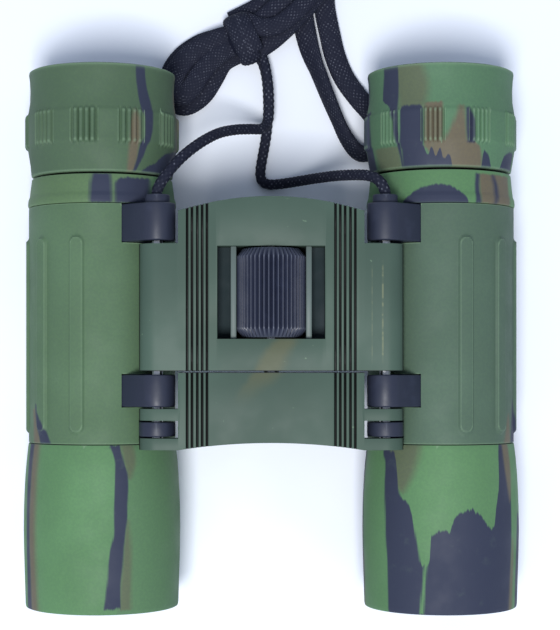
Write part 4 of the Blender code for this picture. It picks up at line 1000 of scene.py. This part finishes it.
def eyecup(side, word, body, look):
    """The rubber cup. Its band has ten groups of four ridges, with smooth pads between them."""
    group = math.radians(36)
    degrees = (7.0, 3.5, 101) if side > 0 else (8.6, 4.3, 98)
    half, pitch, first = (math.radians(a) for a in degrees)
    band = 15.2

    def grip(turn, r, y):
        if r < band - 0.1:
            return 0.0 * turn
        off = (turn - first + group / 2) % group - group / 2
        inside = np.abs(off) < half
        phase = ((off + half) / pitch) % 1.0
        ridge = 0.66 * (1 - np.abs(2 * phase - 1) ** 2.2) ** 0.8
        ends = smoothstep(y, 38.8, 39.5) * (1 - smoothstep(y, 45.6, 46.3))
        pad_off = np.abs((turn - first) % group - group / 2)
        edge = group / 2 - half - math.radians(1.2)
        pad = 0.30 * (1 - smoothstep(pad_off, edge - 0.015, edge + 0.012))
        border = 0.10 * np.exp(-((pad_off - edge + 0.012) / 0.009) ** 2)
        return ends * np.where(inside, ridge, pad + border)

    outer = [(13.6, 54.6), (13.75, 55.0), (14.6, 55.0), (14.98, 54.8), (15.05, 54.4), (14.88, 53.2),
             (14.78, 51.2), (14.84, 48.8), (15.1, 47.0)]
    outer += [(band, 46.5 - 0.36 * i) for i in range(22)]
    front = CUP_FRONT[side]
    outer += [(band, 38.6), (15.05, 37.7), (14.75, 35.8), (14.58, front + 0.5),
              (14.5, front + 0.15), (14.3, front)]
    inner = [(11.8, front), (11.8, 50.3), (11.9, 50.6), (12.9, 52.6)]
    obj = lathe(word + "_eyecup_rubber", outer + inner, side, look, 960, grip)
    fitted(obj, body, "green_rubber", word + "_eyecup")


def build_barrel(side, word, greens):
    body = word + "_barrel"
    eye = body if side < 0 else "right_ocular"
    barrel_body(side, word)
    body_armour(side, word, greens["body"])
    neck_ring(side, word, greens["neck"])
    objective_sleeve(side, word, greens["sleeve"])
    objective_cell(side, word)
    metal_ring(side, word, "objective_trim_ring", body)
    eyecup(side, word, body if side < 0 else "right_diopter_ring", greens["cup"])
    metal_ring(side, word, "ocular_tube", eye)
    metal_ring(side, word, "eye_lens_ring", eye)
    for name, sizes, rides in (("objective_lens", (12.5, -45.6, -42.9, 0.6), word + "_objective"),
                               ("field_lens", (10.1, 29.6, 31.6, 1.4), eye),
                               ("eye_lens", (9.6, 44.6, 47.0, 0.9), eye)):
        obj = spun_lens(f"{word}_{name}_glass", side, *sizes, LENS)
        fitted(obj, rides, "lens_glass", f"{word}_{name}")


# ---- bridge ----
GROOVES = (12.6, 13.55, 14.5, 15.55, 16.5)
GROOVE_HALF, GROOVE_DEEP = 0.28, 0.9
REAR_Y, REAR_CORNER_Y = 27.8, 25.0   # the fixed plate's bowed rear edge, at its middle and ends
KNUCKLE_REAR_Y = 18.6
FRONT_Y, FRONT_CORNER_Y = -20.6, -22.05
LUG_GAPS = ((-19.75, -16.25), (-13.95, SEAM_Y[0]))
WELL_X, WELL_Y = 10.6, (-0.2, 18.1)
KNOB_R = 7.0
BELLY_R = 8.4
SCREWS = [(x, y) for y in (-3.2, 22.4) for x in (-14.4, 14.4)]


def crown(x):
    return CROWN_Z - DROP * (x / HINGE_X) ** 2


def mirrored(half):
    return half + [(-x, y) for x, y in half[::-1] if x > 0]


def bridge_outline():
    """X, Z across the bridge: a crowned plate with fine grooves, and a knuckle on each hinge."""
    half = [(x, crown(x)) for x in np.linspace(0.0, 11.9, 13)]
    for at in GROOVES:
        half += [(at + off * GROOVE_HALF, crown(at) - deep)
                 for off, deep in ((-1, 0), (-0.25, GROOVE_DEEP), (0.25, GROOVE_DEEP), (1, 0))]
    half += [(x, crown(x)) for x in (17.4, 18.6, 20.0, 21.4)]
    under = math.degrees(math.asin((HINGE_Z - SHELL_BOTTOM_Z) / KNUCKLE_R))
    half += arc(HINGE_X, HINGE_Z, KNUCKLE_R, 90, -180 + under, 36)
    return mirrored([(float(x), float(z)) for x, z in half])


def bowed(middle, corner):
    """Half of an edge of the plate that bows from its middle to its corners."""
    return [(float(x), float(middle - (middle - corner) * (x / PLATE) ** 2))
            for x in np.linspace(0.0, PLATE, 15)]


def housing_plan():
    return mirrored(bowed(REAR_Y, REAR_CORNER_Y)
                    + [(PLATE, KNUCKLE_REAR_Y), (WING, KNUCKLE_REAR_Y), (WING, SEAM_Y[1])])


def slider_plan():
    (a, b), (c, d) = LUG_GAPS
    return mirrored(bowed(FRONT_Y, FRONT_CORNER_Y)
                    + [(WING, FRONT_CORNER_Y), (WING, a), (PLATE, a), (PLATE, b), (WING, b),
                       (WING, c), (PLATE, c), (PLATE, d)])


def uprights(name, radius, z):
    """A round post for each cover screw."""
    return [prism(name, circle(x, y, radius, 24), z[0], z[1], "Z", PAINT) for x, y in SCREWS]


def pin_bores(front, rear):
    return [rod("bore", side * HINGE_X, PIN_BORE, (front, rear), PAINT) for side, _ in SIDES]


def bridge_housing():
    obj = prism("bridge_housing_plate", bridge_outline(), -8.0, 29.0, "Y", PAINT)
    carved(obj, "INTERSECT", prism("plan", housing_plan(), BELOW, ABOVE, "Z", PAINT))
    inner = PLATE - WALL
    carved(obj, "DIFFERENCE", box("cavity", (-inner, inner), (-5.2, 23.75), (BELOW, SKIN_Z), PAINT))
    frame_z = (SHELL_BOTTOM_Z, SKIN_Z + 0.5)
    walls = box("walls", (-11.6, 11.6), (-1.6, 19.5), frame_z, PAINT)
    carved(obj, "UNION", walls, *uprights("post", 1.9, frame_z))
    window = box("window", (-WELL_X, WELL_X), WELL_Y, (BELOW, ABOVE), PAINT)
    groove = arc(0.0, HINGE_Z, SHAFT_BORE, 0, 180, 16) + [(-1.8, 28.0), (1.8, 28.0)]
    saddle = prism("saddle", groove, -8.0, 20.6, "Y", PAINT)
    carved(obj, "DIFFERENCE", window, saddle, *uprights("hole", 1.05, (28.0, 34.2)),
           *pin_bores(-8.0, 19.6))
    rounded(obj, 0.14)
    fitted(obj, "bridge", "green_metal", "bridge_housing")
    for side, word in SIDES:
        inner, outer = sorted((side * 6.85, side * 8.0))
        corners = [(inner, 31.2), (outer, 31.2), (outer, 34.6), (inner, 34.6)]
        strip = prism(word + "_well_strip", corners, *WELL_Y, "Y", PALE_PAINT)
        fitted(rounded(strip, 0.2), "bridge", "green_metal")


def shade_the_wells(obj):
    """The faces that look up into the bridge get the dull dark plastic: a painted shade for the
    deep wells beside the knob.
    """
    obj.data.materials.append(DULL)
    for face in obj.data.polygons:
        if face.normal.z > 0.2:
            face.material_index = 1


def back_cover():
    wing = PLATE - GAP
    obj = box("bridge_cover_plate", (-wing, wing), (SEAM_Y[1], 24.5), (28.9, 30.0), PAINT)
    reach = math.degrees(math.asin((HINGE_Z - 30.0 + 0.2) / BELLY_R))
    belly = arc(0.0, HINGE_Z, BELLY_R, -180 + reach, -reach, 40)
    carved(obj, "UNION", prism("belly", belly, -1.6, 19.5, "Y", PAINT))
    hollow = prism("hollow", arc(0.0, HINGE_Z, KNOB_R + 0.5, 0, 357, 79), -0.4, 18.3, "Y", PAINT)
    clip = rod("clip", 0.0, 2.6, (-3.4, -2.1), PAINT, 36)
    relief = rod("relief", 0.0, SHAFT_BORE, (-8.0, 24.0), PAINT, 36)
    carved(obj, "DIFFERENCE", hollow, clip, relief, *uprights("hole", 1.05, (28.0, 31.0)),
           *uprights("sink", 1.95, (28.0, 29.6)))
    rounded(obj, 0.15)
    shade_the_wells(obj)
    fitted(obj, "bridge", "green_metal", "bridge_back_cover")


def focus_slider():
    obj = prism("focus_slider_plate", bridge_outline(), -24.0, -5.0, "Y", PAINT)
    carved(obj, "INTERSECT", prism("plan", slider_plan(), BELOW, ABOVE, "Z", PAINT))
    pockets = [box("pocket", sorted((side * 5.6, side * (PLATE - WALL))), (-19.4, -8.0),
                   (BELOW, SKIN_Z), PAINT) for side, _ in SIDES]
    carved(obj, "DIFFERENCE", *pockets)
    boss = prism("boss", arc(0.0, HINGE_Z, 4.7, -170, -10, 30), -18.6, SEAM_Y[0], "Y", PAINT)
    carved(obj, "UNION", boss)
    nut = rod("nut", 0.0, 3.6, (-15.3, -5.0), PAINT, 36)
    shaft = rod("shaft", 0.0, SHAFT_BORE, (-18.0, -10.0), PAINT, 36)
    carved(obj, "DIFFERENCE", nut, shaft, *pin_bores(-21.7, -12.0))
    rounded(obj, 0.14)
    fitted(obj, "focus_slider", "green_metal", "focus_slider")


def focus_knob():
    ribs, rib_deep = 46, 0.62

    def ribbed(turn, r, y):
        if r < 6.0:
            return 0.0 * turn
        deep = rib_deep * smoothstep(y, 1.0, 1.9) * (1 - smoothstep(y, 16.0, 16.9))
        return -deep * (1 - np.abs(np.cos(ribs / 2 * turn)) ** 1.3)

    outer = [(2.3, 17.75), (5.5, 17.75), (5.75, 17.65), (6.85, 16.3)]
    outer += [(KNOB_R, 16.0 - 0.6 * i) for i in range(24)]
    outer += [(KNOB_R, 1.9), (6.85, 1.6), (5.75, 0.25), (5.5, 0.15), (2.3, 0.15)]
    obj = lathe("focus_knob_ribbed", outer, 0, KNOB_BLACK, ribs * 12, ribbed, HINGE_Z)
    fitted(obj, "focus_wheel", "black_plastic", "focus_knob")


def build_bridge():
    bridge_housing()
    back_cover()
    focus_slider()
    focus_knob()


def dress_kept_nodes():
    """The CAD nodes that stay as they are get the finished materials."""
    looks = {"steel": STEEL, "brass": BRASS, "prism_glass": PRISM, "black_metal": BLACK_METAL}
    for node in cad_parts.values():
        if not node.hide_render:
            for place in node.material_slots:
                place.material = looks[place.material.name.split(".")[0]]


# ---- everything ----
stage_set()
build_strap()
for side, word, rubbers in ((-1, "left", {"sleeve": (VIVID, LEFT_SLEEVE, 3.1, 2.0),
                                         "body": (MUTED, LEFT_BODY, 7.4),
                                         "neck": (linear(108, 136, 98), LEFT_NECK, 11.9),
                                         "cup": (linear(94, 118, 92), LEFT_CUP, 15.2)}),
                           (1, "right", {"sleeve": (VIVID, RIGHT_SLEEVE, 19.3, 2.4),
                                         "body": (linear(97, 120, 101), RIGHT_BODY, 23.8),
                                         "neck": (VIVID, RIGHT_NECK, 27.5),
                                         "cup": (linear(101, 137, 105), RIGHT_CUP, 31.6)})):
    build_barrel(side, word, {part: camouflage(f"{word}_{part}_rubber", side, *rubber)
                              for part, rubber in rubbers.items()})
build_bridge()
dress_kept_nodes()
